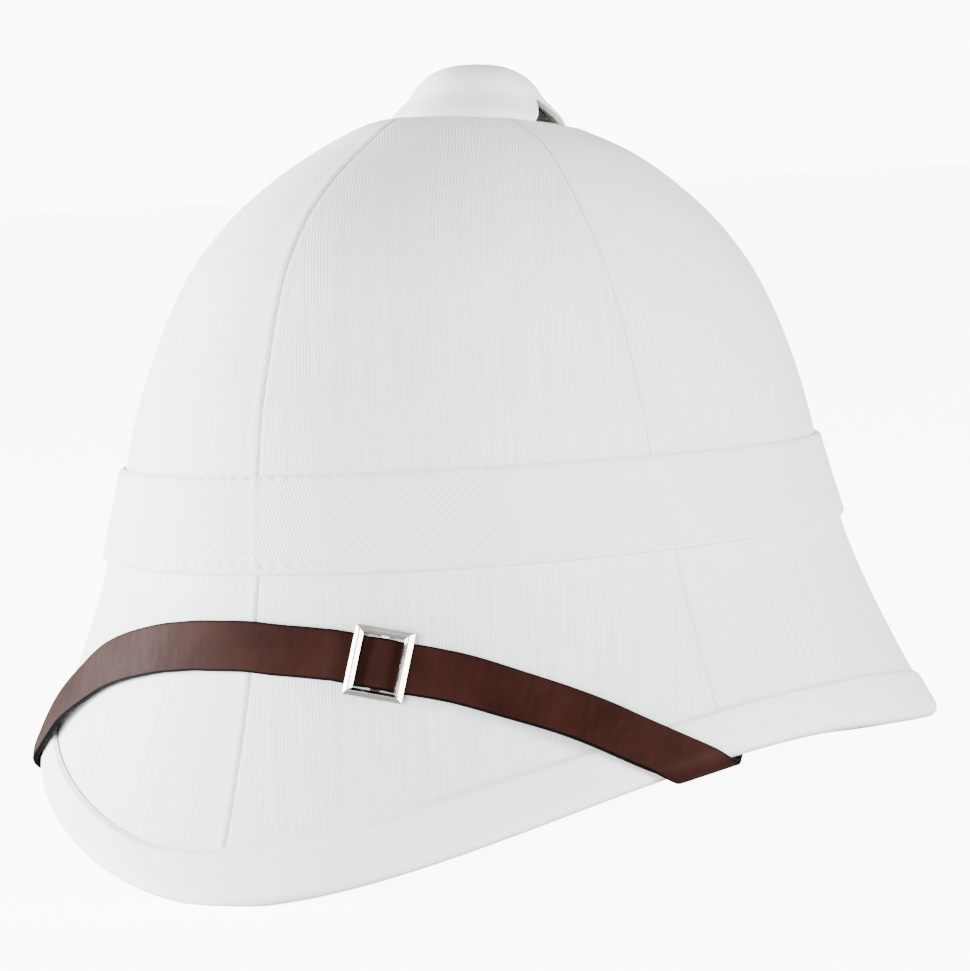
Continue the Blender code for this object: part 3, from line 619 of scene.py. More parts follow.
def new_material(name: str) -> tuple[Material, Adder, Node]:
    """A material, what adds a node to its tree, and its Principled shader."""
    material = bpy.data.materials.new(name)
    material.use_nodes = True
    tree = material.node_tree
    return material, partial(add_node, tree), tree.nodes["Principled BSDF"]


@dataclass(frozen=True)
class WovenCotton:
    """White cotton cloth, woven, whose raised threads give fine soft ribs of shade."""

    name: str
    colour: str
    shade: str                   # in the hollows between ribs, where less light reaches
    run: Run
    rib_pitch: float             # millimetres
    rib_depth: float
    evenness: float = 0.3        # 1 for a machine-even rib, 0 for uneven streaks only
    wander: float = 1.2          # how far a rib strays from its line
    yarn_count: float = 0.6      # thick yarns to a rib
    yarn_run: float = 0.03       # how much slower they change along than across
    thread_pitch: float = 0.7
    thread_depth: float = 0.015
    contrast: float = 0.25
    roughness: float = 0.86
    sheen: float = 0.15
    twill_slope: float = 24.0    # degrees that a twill line leans from upright
    tight_until: float = 0.0     # millimetres down the map over which the cloth is pulled smooth
    tight_show: float = 0.15     # the share of its ribs' shade that still shows there
    fold_shade_at: float = 0.0       # millimetres down the map where the fold under the nose is painted grey, as painted shade
    fold_shade_width: float = 5.0
    fold_shade: str = "#97948f"

    def build(self) -> Material:
        """Make the material: ribs and threads on the piece's own map."""
        material, add, shader = new_material(self.name)
        place = add("ShaderNodeUVMap", {"uv_map": UV_NAME}).outputs["UV"]
        turned = {Run.ALONG: 0.0, Run.ACROSS: 90.0, Run.TWILL: -self.twill_slope}[self.run]
        spin = add("ShaderNodeMapping", inputs={
            "Vector": place, "Rotation": (0.0, 0.0, math.radians(turned))})
        ribs = add("ShaderNodeTexWave", {"bands_direction": "X"}, {
            "Vector": spin,
            "Scale": WAVE_PERIOD / (self.rib_pitch * MM),
            "Distortion": self.wander,
            "Detail": 2.0,
            "Detail Scale": 0.6,
        })
        # Streaks much longer than wide: single thick and thin yarns in the cloth.
        stretch = add("ShaderNodeMapping", inputs={"Vector": spin, "Scale": (1.0, self.yarn_run, 1.0)})
        slubs = add("ShaderNodeTexNoise", inputs={
            "Vector": stretch, "Detail": 3.0,
            "Scale": self.yarn_count / (self.rib_pitch * MM)})
        threads = add("ShaderNodeTexNoise", inputs={
            "Vector": place, "Scale": 1.0 / (self.thread_pitch * MM), "Detail": 2.0})
        cover = add("ShaderNodeMix", {"data_type": "FLOAT"}, {
            "Factor": self.evenness, 2: slubs, 3: ribs.outputs["Fac"]})
        tone = add("ShaderNodeMapRange", inputs={
            "Value": cover, "From Min": NOISE_LOW, "From Max": NOISE_HIGH,
            "To Min": 1.0 - self.contrast, "To Max": 1.0})
        depth = add("ShaderNodeSeparateXYZ", inputs={"Vector": place}).outputs["Y"]
        loose = add("ShaderNodeMapRange", inputs={
            "Value": depth, "From Min": self.tight_until * 0.5 * MM - MM,
            "From Max": self.tight_until * MM, "To Min": self.tight_show})
        shown = add("ShaderNodeMix", {"data_type": "FLOAT"}, {"Factor": loose, 2: 1.0, 3: tone})
        clean = add("ShaderNodeMix", {"data_type": "RGBA"}, {
            "Factor": shown, 6: linear(self.shade), 7: linear(self.colour)})
        # Painted shade: a grey band across the tape where it turns under the brim's nose, darkest at its
        # middle.
        beside = add("ShaderNodeMath", {"operation": "SUBTRACT"}, {0: depth, 1: self.fold_shade_at * MM})
        aside = add("ShaderNodeMath", {"operation": "ABSOLUTE"}, {0: beside})
        fold_shade_mask = add("ShaderNodeMapRange", {"interpolation_type": "SMOOTHSTEP"}, {
            "Value": aside, "From Max": self.fold_shade_width * MM,
            "To Min": 1.0 if self.fold_shade_at else 0.0, "To Max": 0.0})
        mix = add("ShaderNodeMix", {"data_type": "RGBA"}, {
            "Factor": fold_shade_mask, 6: clean.outputs[2], 7: linear(self.fold_shade)})
        fine = add("ShaderNodeBump", inputs={
            "Height": threads, "Distance": self.thread_depth * MM, "Strength": 1.0})
        bump = add("ShaderNodeBump", inputs={
            "Height": cover, "Distance": self.rib_depth * MM, "Strength": 1.0,
            "Normal": fine})
        set_inputs(shader, {
            "Base Color": mix.outputs[2], "Normal": bump,
            "Roughness": self.roughness, "IOR": 1.47, "Specular IOR Level": 0.3,
            "Sheen Weight": self.sheen, "Sheen Roughness": 0.45})
        return material


@dataclass(frozen=True)
class CottonThread:
    """White sewing thread, twisted, which stands out as short soft strokes."""

    name: str = "white_thread"
    colour: str = "#eef0f0"
    shade: str = "#c9cdd0"
    grain: float = 0.5

    def build(self) -> Material:
        """Make the material: a little uneven, as twisted yarn is."""
        material, add, shader = new_material(self.name)
        place = add("ShaderNodeTexCoord").outputs["Object"]
        fuzz = add("ShaderNodeTexNoise", inputs={
            "Vector": place, "Scale": 1.0 / (self.grain * MM), "Detail": 2.0})
        mix = add("ShaderNodeMix", {"data_type": "RGBA"}, {
            "Factor": fuzz, 6: linear(self.shade), 7: linear(self.colour)})
        set_inputs(shader, {
            "Base Color": mix.outputs[2], "Roughness": 0.8, "IOR": 1.47, "Sheen Weight": 0.1})
        return material


@dataclass(frozen=True)
class PressedCork:
    """Cork granules pressed in a mould, which give close brown specks with darker joints."""

    name: str
    light: str
    dark: str
    grain: float                 # millimetres across a granule
    depth: float
    roughness: float = 0.9
    specks: float = 3.0          # specks to a granule
    variety: float = 0.6         # how far granules differ in colour
    joint_width: float = 0.12    # share of a granule
    joint_tone: float = 0.35
    face_tone: float = 0.8

    def build(self) -> Material:
        """Make the material: cells for the granules, their borders for the joints."""
        material, add, shader = new_material(self.name)
        place = add("ShaderNodeTexCoord").outputs["Object"]
        scale = 1.0 / (self.grain * MM)
        cells = add("ShaderNodeTexVoronoi", inputs={"Vector": place, "Scale": scale})
        joints = add("ShaderNodeTexVoronoi", {"feature": "DISTANCE_TO_EDGE"}, {
            "Vector": place, "Scale": scale})
        pick = add("ShaderNodeSeparateColor", inputs={"Color": cells.outputs["Color"]})
        speck = add("ShaderNodeTexNoise", inputs={
            "Vector": place, "Scale": self.specks * scale, "Detail": 4.0})
        blend = add("ShaderNodeMath", {"operation": "MULTIPLY_ADD"}, {
            0: pick, 1: self.variety, 2: speck})
        shadow = add("ShaderNodeMapRange", inputs={
            "Value": joints, "From Max": self.joint_width,
            "To Min": self.joint_tone, "To Max": self.face_tone})
        tone = add("ShaderNodeMath", {"operation": "MULTIPLY"}, {0: blend, 1: shadow})
        mix = add("ShaderNodeMix", {"data_type": "RGBA"}, {
            "Factor": tone, 6: linear(self.dark), 7: linear(self.light)})
        bump = add("ShaderNodeBump", inputs={
            "Height": tone, "Distance": self.depth * MM, "Strength": 0.8})
        set_inputs(shader, {
            "Base Color": mix.outputs[2], "Normal": bump,
            "Roughness": self.roughness, "IOR": 1.45, "Specular IOR Level": 0.25})
        return material


@dataclass(frozen=True)
class StrapLeather:
    """Brown calf strap leather, rolled smooth and waxed, with black painted edges.

    It gives a satin brown with a grey bloom where it faces the light, fine creases across
    it and a dark line down each edge.
    """

    name: str = "waxed_strap_leather"
    brown: str = "#2d1712"
    deep: str = "#1d0c09"
    edge: str = "#080505"
    half_width: float = 7.0
    edge_line: float = 0.45      # millimetres of the face that the edge paint covers
    edge_wander: float = 0.35
    edge_fade: float = 0.25
    cloud_size: float = 16.0     # of its uneven dye
    crease_pitch: float = 1.5
    crease_run: float = 0.16     # creases run across it, this much longer than wide
    crease_depth: float = 0.03
    grain_pitch: float = 0.45
    grain_depth: float = 0.012
    roughness: float = 0.58

    def build(self) -> Material:
        """Make the material on the strap's own map: along it, and across from its middle."""
        material, add, shader = new_material(self.name)
        place = add("ShaderNodeUVMap", {"uv_map": UV_NAME}).outputs["UV"]
        parts = add("ShaderNodeSeparateXYZ", inputs={"Vector": place})
        stretch = add("ShaderNodeMapping", inputs={
            "Vector": place, "Scale": (1.0, self.crease_run, 1.0)})
        creases = add("ShaderNodeTexNoise", inputs={
            "Vector": stretch, "Scale": 1.0 / (self.crease_pitch * MM),
            "Detail": 4.0, "Roughness": 0.6, "Distortion": 0.4})
        grain = add("ShaderNodeTexNoise", inputs={
            "Vector": place, "Scale": 1.0 / (self.grain_pitch * MM), "Detail": 2.0})
        clouds = add("ShaderNodeTexNoise", inputs={
            "Vector": place, "Scale": 1.0 / (self.cloud_size * MM), "Detail": 3.0})
        dye = add("ShaderNodeMath", {"operation": "MULTIPLY_ADD"}, {0: creases, 1: 0.5, 2: clouds})
        spread = add("ShaderNodeMapRange", inputs={"Value": dye, "From Min": 0.45, "From Max": 1.0})
        body = add("ShaderNodeMix", {"data_type": "RGBA"}, {
            "Factor": spread, 6: linear(self.deep), 7: linear(self.brown)})
        aside = add("ShaderNodeMath", {"operation": "ABSOLUTE"}, {0: parts.outputs["Y"]})
        ragged = add("ShaderNodeMath", {"operation": "MULTIPLY_ADD"}, {
            0: grain, 1: self.edge_wander * MM, 2: aside})
        rim = (self.half_width - self.edge_line) * MM
        painted = add("ShaderNodeMapRange", inputs={
            "Value": ragged, "From Min": rim, "From Max": rim + self.edge_fade * MM})
        colour = add("ShaderNodeMix", {"data_type": "RGBA"}, {
            "Factor": painted, 6: body.outputs[2], 7: linear(self.edge)})
        gloss = add("ShaderNodeMapRange", inputs={
            "Value": creases, "From Min": NOISE_LOW, "From Max": NOISE_HIGH,
            "To Min": self.roughness - 0.06, "To Max": self.roughness + 0.08})
        fine = add("ShaderNodeBump", inputs={
            "Height": grain, "Distance": self.grain_depth * MM, "Strength": 1.0})
        bump = add("ShaderNodeBump", inputs={
            "Height": creases, "Distance": self.crease_depth * MM, "Strength": 1.0,
            "Normal": fine})
        set_inputs(shader, {
            "Base Color": colour.outputs[2], "Roughness": gloss,
            "Normal": bump, "IOR": 1.5, "Specular IOR Level": 0.03})
        return material


@dataclass(frozen=True)
class PolishedMetal:
    """A metal part, plated or bare, whose fine polishing marks break up its reflections."""

    name: str
    colour: str
    tarnish: str
    roughness: float
    grain: float = 0.6
    depth: float = 0.004
    blotch: float = 4.0          # of its dull patches

    def build(self) -> Material:
        """Make the material: a metal with uneven polish."""
        material, add, shader = new_material(self.name)
        place = add("ShaderNodeTexCoord").outputs["Object"]
        marks = add("ShaderNodeTexNoise", inputs={
            "Vector": place, "Scale": 1.0 / (self.grain * MM), "Detail": 4.0})
        blotches = add("ShaderNodeTexNoise", inputs={
            "Vector": place, "Scale": 1.0 / (self.blotch * MM), "Detail": 2.0})
        mix = add("ShaderNodeMix", {"data_type": "RGBA"}, {
            "Factor": blotches, 6: linear(self.tarnish), 7: linear(self.colour)})
        gloss = add("ShaderNodeMapRange", inputs={
            "Value": marks, "From Min": NOISE_LOW, "From Max": NOISE_HIGH,
            "To Min": self.roughness * 0.75, "To Max": self.roughness * 1.35})
        bump = add("ShaderNodeBump", inputs={
            "Height": marks, "Distance": self.depth * MM, "Strength": 1.0})
        set_inputs(shader, {
            "Base Color": mix.outputs[2], "Roughness": gloss,
            "Normal": bump, "Metallic": 1.0})
        return material


def seen_power(add: Adder, seen: float, given: float) -> Node:
    """Brightness of a backdrop lit by lamps of its own, which barely reach the helmet.

    Args:
        add: What adds a node to the tree.
        seen: How bright the backdrop looks.
        given: How much light it gives to what stands in front of it.

    Returns:
        The node that gives the brightness.
    """
    path = add("ShaderNodeLightPath")
    return add("ShaderNodeMapRange", inputs={
        "Value": path.outputs["Is Camera Ray"], "To Min": given, "To Max": seen})


@dataclass(frozen=True)
class LitTable:
    """A matt white acrylic table lit from below, which looks white and keeps shadows faint."""

    name: str = "lit_white_acrylic"
    colour: str = "#e4e4e4"
    seen: float = 9.5
    given: float = 0.1
    tooth: float = 3.0           # millimetres across the grain of its matt face

    def build(self) -> Material:
        """Make the material."""
        material, add, shader = new_material(self.name)
        place = add("ShaderNodeTexCoord").outputs["Object"]
        tooth = add("ShaderNodeTexNoise", inputs={
            "Vector": place, "Scale": 1.0 / (self.tooth * MM), "Detail": 2.0})
        bump = add("ShaderNodeBump", inputs={"Height": tooth, "Distance": 0.02 * MM, "Strength": 0.5})
        set_inputs(shader, {
            "Base Color": linear(self.colour), "Roughness": 0.95, "Specular IOR Level": 0.1,
            "Normal": bump, "Emission Color": linear("#ffffff"),
            "Emission Strength": seen_power(add, self.seen, self.given)})
        return material


@dataclass(frozen=True)
class Finishes:
    """Every finish of the helmet."""

    gore: WovenCotton = WovenCotton(
        "white_cotton_drill", "#f3f4f5", "#c3c9cf", Run.ALONG, rib_pitch=0.95, rib_depth=0.16,
        contrast=0.50, tight_until=95.0)
    cap: WovenCotton = WovenCotton(
        "white_cap_cotton", "#f0f2f3", "#d3d7db", Run.ACROSS, rib_pitch=0.8, rib_depth=0.012,
        contrast=0.2, wander=2.0)
    # The tape gets a band of painted shade where it turns under the brim's nose.
    tape: WovenCotton = WovenCotton(
        "white_cotton_tape", "#f1f2f4", "#cfd3d7", Run.ACROSS, rib_pitch=1.6, rib_depth=0.05,
        contrast=0.25, evenness=0.0, fold_shade_at=19.0)
    band: WovenCotton = WovenCotton(
        "white_band_twill", "#f4f5f6", "#bcc2c9", Run.TWILL, rib_pitch=1.0, rib_depth=0.16,
        contrast=0.45, evenness=0.6, wander=0.6)
    thread: CottonThread = CottonThread()
    cork: PressedCork = PressedCork("pressed_cork_body", "#b79a7a", "#6b513d", 3.2, 0.12)
    cut_edge: PressedCork = PressedCork("pale_cut_edge", "#f1ebdc", "#d8d0bd", 1.2, 0.05)
    leather: StrapLeather = StrapLeather()
    buckle: PolishedMetal = PolishedMetal("nickel_plated_steel", "#94918c", "#6c6964", 0.12)
    gauze: PolishedMetal = PolishedMetal("blackened_wire", "#7a746b", "#46423c", 0.42)
    brass: PolishedMetal = PolishedMetal("turned_brass", "#c79a4a", "#a37a36", 0.30)
    table: LitTable = LitTable()


class FinishRack:
    """Builds each finish once, when a piece first asks for it."""

    def __init__(self, finishes: Finishes) -> None:
        """Keep the finishes to build from."""
        self.finishes = finishes
        self.made: dict[str, Material] = {}

    def __getitem__(self, name: str) -> Material:
        """The material of one finish, by its field's name."""
        if name not in self.made:
            self.made[name] = getattr(self.finishes, name).build()
        return self.made[name]


# Stitches --------------------------------------------------------------------------------

def group_tree(name: str, lengths: Sequence[str], material: str) -> NodeTree:
    """Make a node tree that takes and gives geometry, with named inputs for its sizes.

    Args:
        name: The tree's name.
        lengths: Its inputs for lengths.
        material: Its input for a material.

    Returns:
        The tree, with no nodes yet.
    """
    tree = bpy.data.node_groups.new(name, "GeometryNodeTree")
    kinds = [("Geometry", "Geometry"), *((length, "Float") for length in lengths), (material, "Material")]
    for label, kind in kinds:
        tree.interface.new_socket(label, in_out="INPUT", socket_type=f"NodeSocket{kind}")
    tree.interface.new_socket("Geometry", in_out="OUTPUT", socket_type="NodeSocketGeometry")
    return tree


@dataclass
class StitchTree:
    """The node tree that sews: it lays one short thread at each step along a path."""

    name: str = "sewn_stitches"
    sides: int = 8
    rings: int = 5

    def build(self) -> NodeTree:
        """Make the tree, with its sizes as named inputs.

        Returns:
            A tree that takes a mesh line with an "outward" vector on each point.
        """
        tree = group_tree(
            self.name, ("Step", "Stitch Length", "Stitch Width", "Stitch Height"), "Thread")
        add = partial(add_node, tree)
        given = add("NodeGroupInput").outputs
        path = add("GeometryNodeMeshToCurve", inputs={"Mesh": given["Geometry"]})
        steps = add("GeometryNodeResampleCurve", {"mode": "LENGTH"}, {
            "Curve": path, "Length": given["Step"]})
        outward = add("GeometryNodeInputNamedAttribute", {"data_type": "FLOAT_VECTOR"}, {
            "Name": "outward"})
        tangent = add("GeometryNodeInputTangent")
        upright = add("FunctionNodeAlignRotationToVector", {"axis": "Z"}, {"Vector": outward})
        turned = add("FunctionNodeAlignRotationToVector", {
            "axis": "X", "pivot_axis": "Z"}, {"Rotation": upright, "Vector": tangent})
        bead = add("GeometryNodeMeshUVSphere", inputs={
            "Segments": self.sides, "Rings": self.rings, "Radius": 0.5})
        size = add("ShaderNodeCombineXYZ", inputs={
            "X": given["Stitch Length"], "Y": given["Stitch Width"], "Z": given["Stitch Height"]})
        sized = add("GeometryNodeTransform", inputs={"Geometry": bead, "Scale": size})
        laid = add("GeometryNodeInstanceOnPoints", inputs={
            "Points": steps, "Instance": sized,
            "Rotation": turned})
        real = add("GeometryNodeRealizeInstances", inputs={"Geometry": laid})
        smooth = add("GeometryNodeSetShadeSmooth", inputs={"Geometry": real})
        dyed = add("GeometryNodeSetMaterial", inputs={"Geometry": smooth, "Material": given["Thread"]})
        add("NodeGroupOutput", inputs={"Geometry": dyed})
        return tree


def run_tree(item: Object, tree: NodeTree, values: dict[str, Any]) -> Object:
    """Run a node tree on an object and keep the result as its plain mesh.

    Args:
        item: The object that the tree starts from.
        tree: The tree.
        values: A value for each of its named inputs.

    Returns:
        The object, with the result as its mesh and no modifier.
    """
    modifier = item.modifiers.new(tree.name, "NODES")
    modifier.node_group = tree
    for socket in tree.interface.items_tree:
        if socket.item_type == "SOCKET" and socket.in_out == "INPUT" and socket.name in values:
            modifier[socket.identifier] = values[socket.name]
    return baked(item)


@dataclass(frozen=True)
class StitchLine:
    """A row of machine or hand stitches along a closed line."""

    name: str
    step: float
    length: float
    width: float
    height: float

    def sew(self, points: Array, outward: Array, place: RestPose, tree: NodeTree,
            thread: Material) -> Object:
        """Lay the stitches.

        Args:
            points: Drawn points of the closed line.
            outward: The direction out of the cloth at each.
            place: The rest pose.
            tree: The stitch tree.
            thread: The thread's material.

        Returns:
            The stitches as one plain mesh.
        """
        placed = place(points)
        away = unit(place(points + outward) - placed)
        mesh = bpy.data.meshes.new(self.name)
        count = len(placed)
        mesh.from_pydata(placed.tolist(), [(index, (index + 1) % count) for index in range(count)], [])
        mesh.attributes.new("outward", "FLOAT_VECTOR", "POINT").data.foreach_set("vector", away.ravel())
        item = new_object(self.name, mesh)
        sizes = {"Step": self.step, "Stitch Length": self.length, "Stitch Width": self.width,
                 "Stitch Height": self.height}
        values = {name: size * MM for name, size in sizes.items()}
        return run_tree(item, tree, {**values, "Thread": thread})


# Body and cover --------------------------------------------------------------------------

def belongs(item: Object, slot: str, *nodes: str) -> Object:
    """Let a piece ride on the one body and stand for its nodes."""
    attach(item, "root")
    if nodes:
        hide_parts(*nodes)
    return item


@dataclass
class CorkBody:
    """The pressed body, dome and brim in one, open below, with the vent hole at its top."""

    form: HelmetForm
    place: RestPose
    outer_leg: float
    columns: int = 192
    crown_rows: int = 44
    brim_rows: int = 26

    def build(self, rack: FinishRack) -> Object:
        """Make the body as one closed wall."""
        form = self.form
        angles = turns_round(self.columns)
        rings, walls = [], []
        for share in form.crown_shares(self.crown_rows):
            rings.append(form.crown_ring(angles, share) if share > 0.0 else form.base_ring(angles))
            walls.append(np.full(self.columns, form.cork_wall))
        length = form.brim_length(angles)
        for share in np.linspace(0.0, 1.0, self.brim_rows)[1:]:
            reach = length + (form.cork_edge_reach - length) * share
            rings.append(form.brim_ring(angles, reach))
            walls.append(form.brim_wall((reach - self.outer_leg) / (length - self.outer_leg)))
        outer = [ring.lifted(form.cork_top) for ring in rings]
        inner = [ring.lifted(form.cork_top - wall) for ring, wall in zip(rings, walls)]
        body = ring_body("cork_body", np.stack(outer + inner[::-1]), rack["cork"], self.place)
        return belongs(body, "pressed_cork", "cork_shell")


@dataclass
class GoreCover:
    """Six cloth gores, seamed to each other from the ventilator to the brim's edge."""

    form: HelmetForm
    place: RestPose
    seam_columns: tuple[float, ...] = (0.0, 0.18, 0.4, 0.7, 1.1, 1.7, 2.5, 3.6, 5.0, 7.0)
    inner_columns: int = 22
    crown_rows: int = 56
    brim_rows: int = 36
    narrow: float = 60.0         # under this width in millimetres the seam's columns draw in
    half_gap: float = 0.03
    fold_depth: float = 0.45     # how far the cloth rolls down into the seam
    fold_width: float = 0.34
    allowance_lift: float = 0.26  # the turned-in edges under one side lift it this much
    allowance_at: float = 1.5
    allowance_width: float = 1.2
    other_side: float = 0.25     # the share of that lift on the seam's other side

    def stations(self, angle: Array) -> list[Ring]:
        """Rings of the cloth from the vent hole to where it stops inside the binding.

        Args:
            angle: Angles, rows by columns, one row for each ring.

        Returns:
            One ring for each row.
        """
        form = self.form
        crown = form.crown_shares(self.crown_rows)
        rings = [form.crown_ring(angle[row], share) for row, share in enumerate(crown[:-1])]
        rings.append(form.base_ring(angle[len(rings)]))
        for share in np.linspace(0.0, 1.0, self.brim_rows)[1:]:
            row = angle[len(rings)]
            length = form.brim_length(row)
            rings.append(form.brim_ring(row, length + (form.cork_edge_reach - length) * share))
        return rings

    def columns(self, first: float, last: float) -> tuple[Array, Array]:
        """Angles of each row's columns, close together beside both seams.

        Args:
            first: The angle of the seam where the gore starts.
            last: The angle of the seam where it ends.

        Returns:
            The angles, and each point's distance in millimetres from its nearer seam.
        """
        rows = self.crown_rows + self.brim_rows - 1
        coarse = np.broadcast_to(np.linspace(first, last, 33), (rows, 33))
        line = lengths_along(np.stack([ring.points for ring in self.stations(coarse)]), axis=1)
        width = line[:, -1:]
        near = np.array(self.seam_columns) * np.clip(width / self.narrow, 0.05, 1.0)
        inner = np.linspace(0.0, 1.0, self.inner_columns + 2)[1:-1]
        middle = near[:, -1:] + (width - 2.0 * near[:, -1:]) * inner
        places = np.concatenate([near, middle, width - near[:, ::-1]], axis=1)
        angle = np.stack([np.interp(place, row, coarse[0]) for place, row in zip(places, line)])
        return angle, np.minimum(places, width - places)

    def relief(self, distance: Array, narrowing: Array) -> Array:
        """Height of the cloth beside a seam, with most of the allowance on one side.

        Args:
            distance: Distance from the nearer seam, rows by columns.
            narrowing: How much relief each row keeps, less where the gore is narrow.

        Returns:
            The height of each point.
        """
        columns = distance.shape[1]
        ends = (np.arange(columns) >= columns // 2)[None, :]
        fold = -self.fold_depth * bell(distance, self.fold_width)
        lift = self.allowance_lift * bell(distance - self.allowance_at, self.allowance_width)
        return (fold + np.where(ends, lift, self.other_side * lift)) * narrowing

    def build_gore(self, number: int, rack: FinishRack) -> Object:
        """Make one gore, mapped from its own middle line so its ribs run down it."""
        first, last = np.radians(self.form.seam_turns[number - 1:number + 1])
        angle, distance = self.columns(first, last)
        rings = self.stations(angle)
        points = np.stack([ring.points for ring in rings])
        out = np.stack([ring.out for ring in rings])
        down = np.stack([ring.down for ring in rings])
        width = lengths_along(points, axis=1)[:, -1:]
        height = self.relief(distance, np.clip(width / self.narrow, 0.2, 1.0))
        outer = points + out * height[..., None]
        inner = points - out * self.form.cloth
        along = np.cross(out, down)
        for column, side in ((0, 1.0), (-1, -1.0)):
            outer[:, column] += along[:, column] * side * self.half_gap
            inner[:, column] += along[:, column] * side * self.half_gap
        gore = sheet_body(f"gore_cloth_{number}", outer, inner, rack["gore"], self.place)
        across = lengths_along(points, axis=1)
        across = across - across[:, -1:] / 2.0
        middle = points.shape[1] // 2
        upright = np.broadcast_to(lengths_along(points[:, middle:middle + 1], axis=0), across.shape)
        map_cloth(gore, np.stack([across, across]), np.stack([upright, upright]))
        belongs(gore, "white_cotton", f"cover_panel_{number}")
        sides = np.cross(np.diff(points, axis=0)[:, :-1], np.diff(points, axis=1)[:-1])
        return gore

    def build(self, rack: FinishRack) -> list[Object]:
        """Make the six gores."""
        return [self.build_gore(number, rack) for number in range(1, len(self.form.seam_turns))]


@dataclass(frozen=True)
class TapeLeg:
    """How far up from the brim's edge the hand-sewn tape reaches, at a turn round the brim."""

    turn: float
    reach: float


@dataclass
class BrimBinding:
    """A tape folded over the brim's edge, sewn through near its upper edge."""

    form: HelmetForm
    legs: tuple[TapeLeg, ...] = (
        TapeLeg(-180.0, 14.5), TapeLeg(-100.0, 14.0), TapeLeg(-45.0, 13.1), TapeLeg(-16.0, 12.8),
        TapeLeg(-6.5, 14.5), TapeLeg(11.0, 17.2), TapeLeg(32.0, 16.8), TapeLeg(46.0, 14.9),
        TapeLeg(62.0, 13.5), TapeLeg(77.0, 13.5), TapeLeg(92.0, 15.0), TapeLeg(180.0, 14.5),
    )
    outer_leg: float = 16.0      # the leg that the cross-section below is drawn with
    middle_leg: float = 9.5
    inner_leg: float = 12.0
    columns: int = 384
    nose_steps: int = 14
    coarse_columns: int = 48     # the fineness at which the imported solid's rest is found
    coarse_steps: int = 5
    edge_height: float = 0.45    # the tape's thin upper edge, above the cloth
    edge_taper: float = 1.6      # from it to the tape's whole height
    fill: float = 0.15           # how far the tape's outer face swells
    stitch_reach: float = 14.6
    groove: float = 0.12         # along its stitches, which sink in a little more
    groove_width: float = 0.5
    stitch_sink: float = 0.02
    # Distances from the brim's edge of the rows of points, down its outside and up under it.
    outer_rows: tuple[float, ...] = (16.0, 15.85, 15.6, 15.3, 15.0, 14.8, 14.6, 14.4, 14.1, 13.6,
                                     12.8, 11.8, 10.6, 9.4, 8.2, 7.0, 6.0, 5.0, 4.0, 3.4)
    inner_rows: tuple[float, ...] = (4.0, 5.5, 7.0, 8.5, 10.0, 11.0, 11.7)
    stitches: StitchLine = StitchLine("binding_stitches", 3.3, 2.5, 0.30, 0.22)

    @property
    def top(self) -> float:
        """Height of its outer face above the cloth."""
        return self.form.gap + self.form.cloth

    @property
    def under(self) -> float:
        """Depth of its under face."""
        form = self.form
        return form.cork_top - form.cork_edge_wall - form.gap - form.cloth

    @property
    def nose_radius(self) -> float:
        """Radius of the round nose."""
        return (self.top - self.under) / 2.0

    @property
    def nose_height(self) -> float:
        """Height of the round nose's centre."""
        return (self.top + self.under) / 2.0

    def nose_arc(self, ring: Ring, radius: Any, turn: Any) -> Array:
        """Points on the round nose.

        Args:
            ring: The brim's ring at the nose's centre.
            radius: Distance from that centre.
            turn: 0 at the top of the brim, pi under it.

        Returns:
            The drawn points.
        """
        rise = self.nose_height + np.asarray(radius) * np.cos(turn)
        forward = np.asarray(radius) * np.sin(turn)
        return ring.points + ring.out * rise[..., None] + ring.down * forward[..., None]

    def nose_rows(self, angles: Array, steps: int) -> list[Array]:
        """Rows of the round nose."""
        ring = self.form.brim_ring(angles, self.nose_radius)
        turns = np.linspace(0.0, math.pi, steps + 1)
        return [self.nose_arc(ring, self.nose_radius, np.full(len(angles), turn)) for turn in turns]

    def rest_points(self) -> Array:
        """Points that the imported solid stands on, at its own fineness."""
        angles = turns_round(self.coarse_columns)
        rows = [self.form.brim_ring(angles, reach).lifted(self.top)
                for reach in (self.outer_leg, self.middle_leg)]
        rows += self.nose_rows(angles, self.coarse_steps)
        rows.append(self.form.brim_ring(angles, self.inner_leg).lifted(self.under))
        return np.stack(rows)

    def outer_height(self, reach: float) -> float:
        """Height of the tape's outer face at a distance from the brim's edge."""
        from_edge = self.outer_leg - reach
        rise = self.edge_height
        rise += (self.top - self.edge_height) * float(ease(from_edge / self.edge_taper))
        swell = self.fill * math.sin(math.pi * np.clip(reach / self.outer_leg, 0.0, 1.0))
        return rise + swell - self.groove * float(bell(reach - self.stitch_reach, self.groove_width))

    def ring_at(self, angles: Array, reach: float) -> Ring:
        """Ring of the cloth at a place of the drawn cross-section, stretched to the leg there."""
        turns = (np.degrees(angles) + 180.0) % 360.0 - 180.0
        leg = smooth_through([leg.turn for leg in self.legs], [leg.reach for leg in self.legs])(turns)
        start = self.form.cork_edge_reach
        stretch = (leg - start) / (self.outer_leg - start)
        return self.form.brim_ring(angles, start + (reach - start) * stretch)

    def rows(self, angles: Array) -> Array:
        """The tape's whole cross-section, carried round the brim."""
        form = self.form
        rows = [self.ring_at(angles, reach).lifted(self.outer_height(reach))
                for reach in self.outer_rows]
        rows += self.nose_rows(angles, self.nose_steps)
        for reach in self.inner_rows:
            rows.append(form.brim_ring(angles, reach).lifted(self.under))
        inner = form.brim_ring(angles, self.inner_leg)
        rows += [inner.lifted(self.under + 0.2), inner.lifted(self.under + form.cloth)]
        for reach in (8.0, 5.0):
            rows.append(form.brim_ring(angles, reach).lifted(self.under + form.cloth))
        fold = form.brim_ring(angles, form.cork_edge_reach - form.gap)
        rows += [fold.lifted(self.under + form.cloth), fold.lifted(form.gap)]
        for reach in (6.0, 10.0, 13.0, 15.6):
            rows.append(self.ring_at(angles, reach).lifted(form.gap))
        return np.stack(rows)

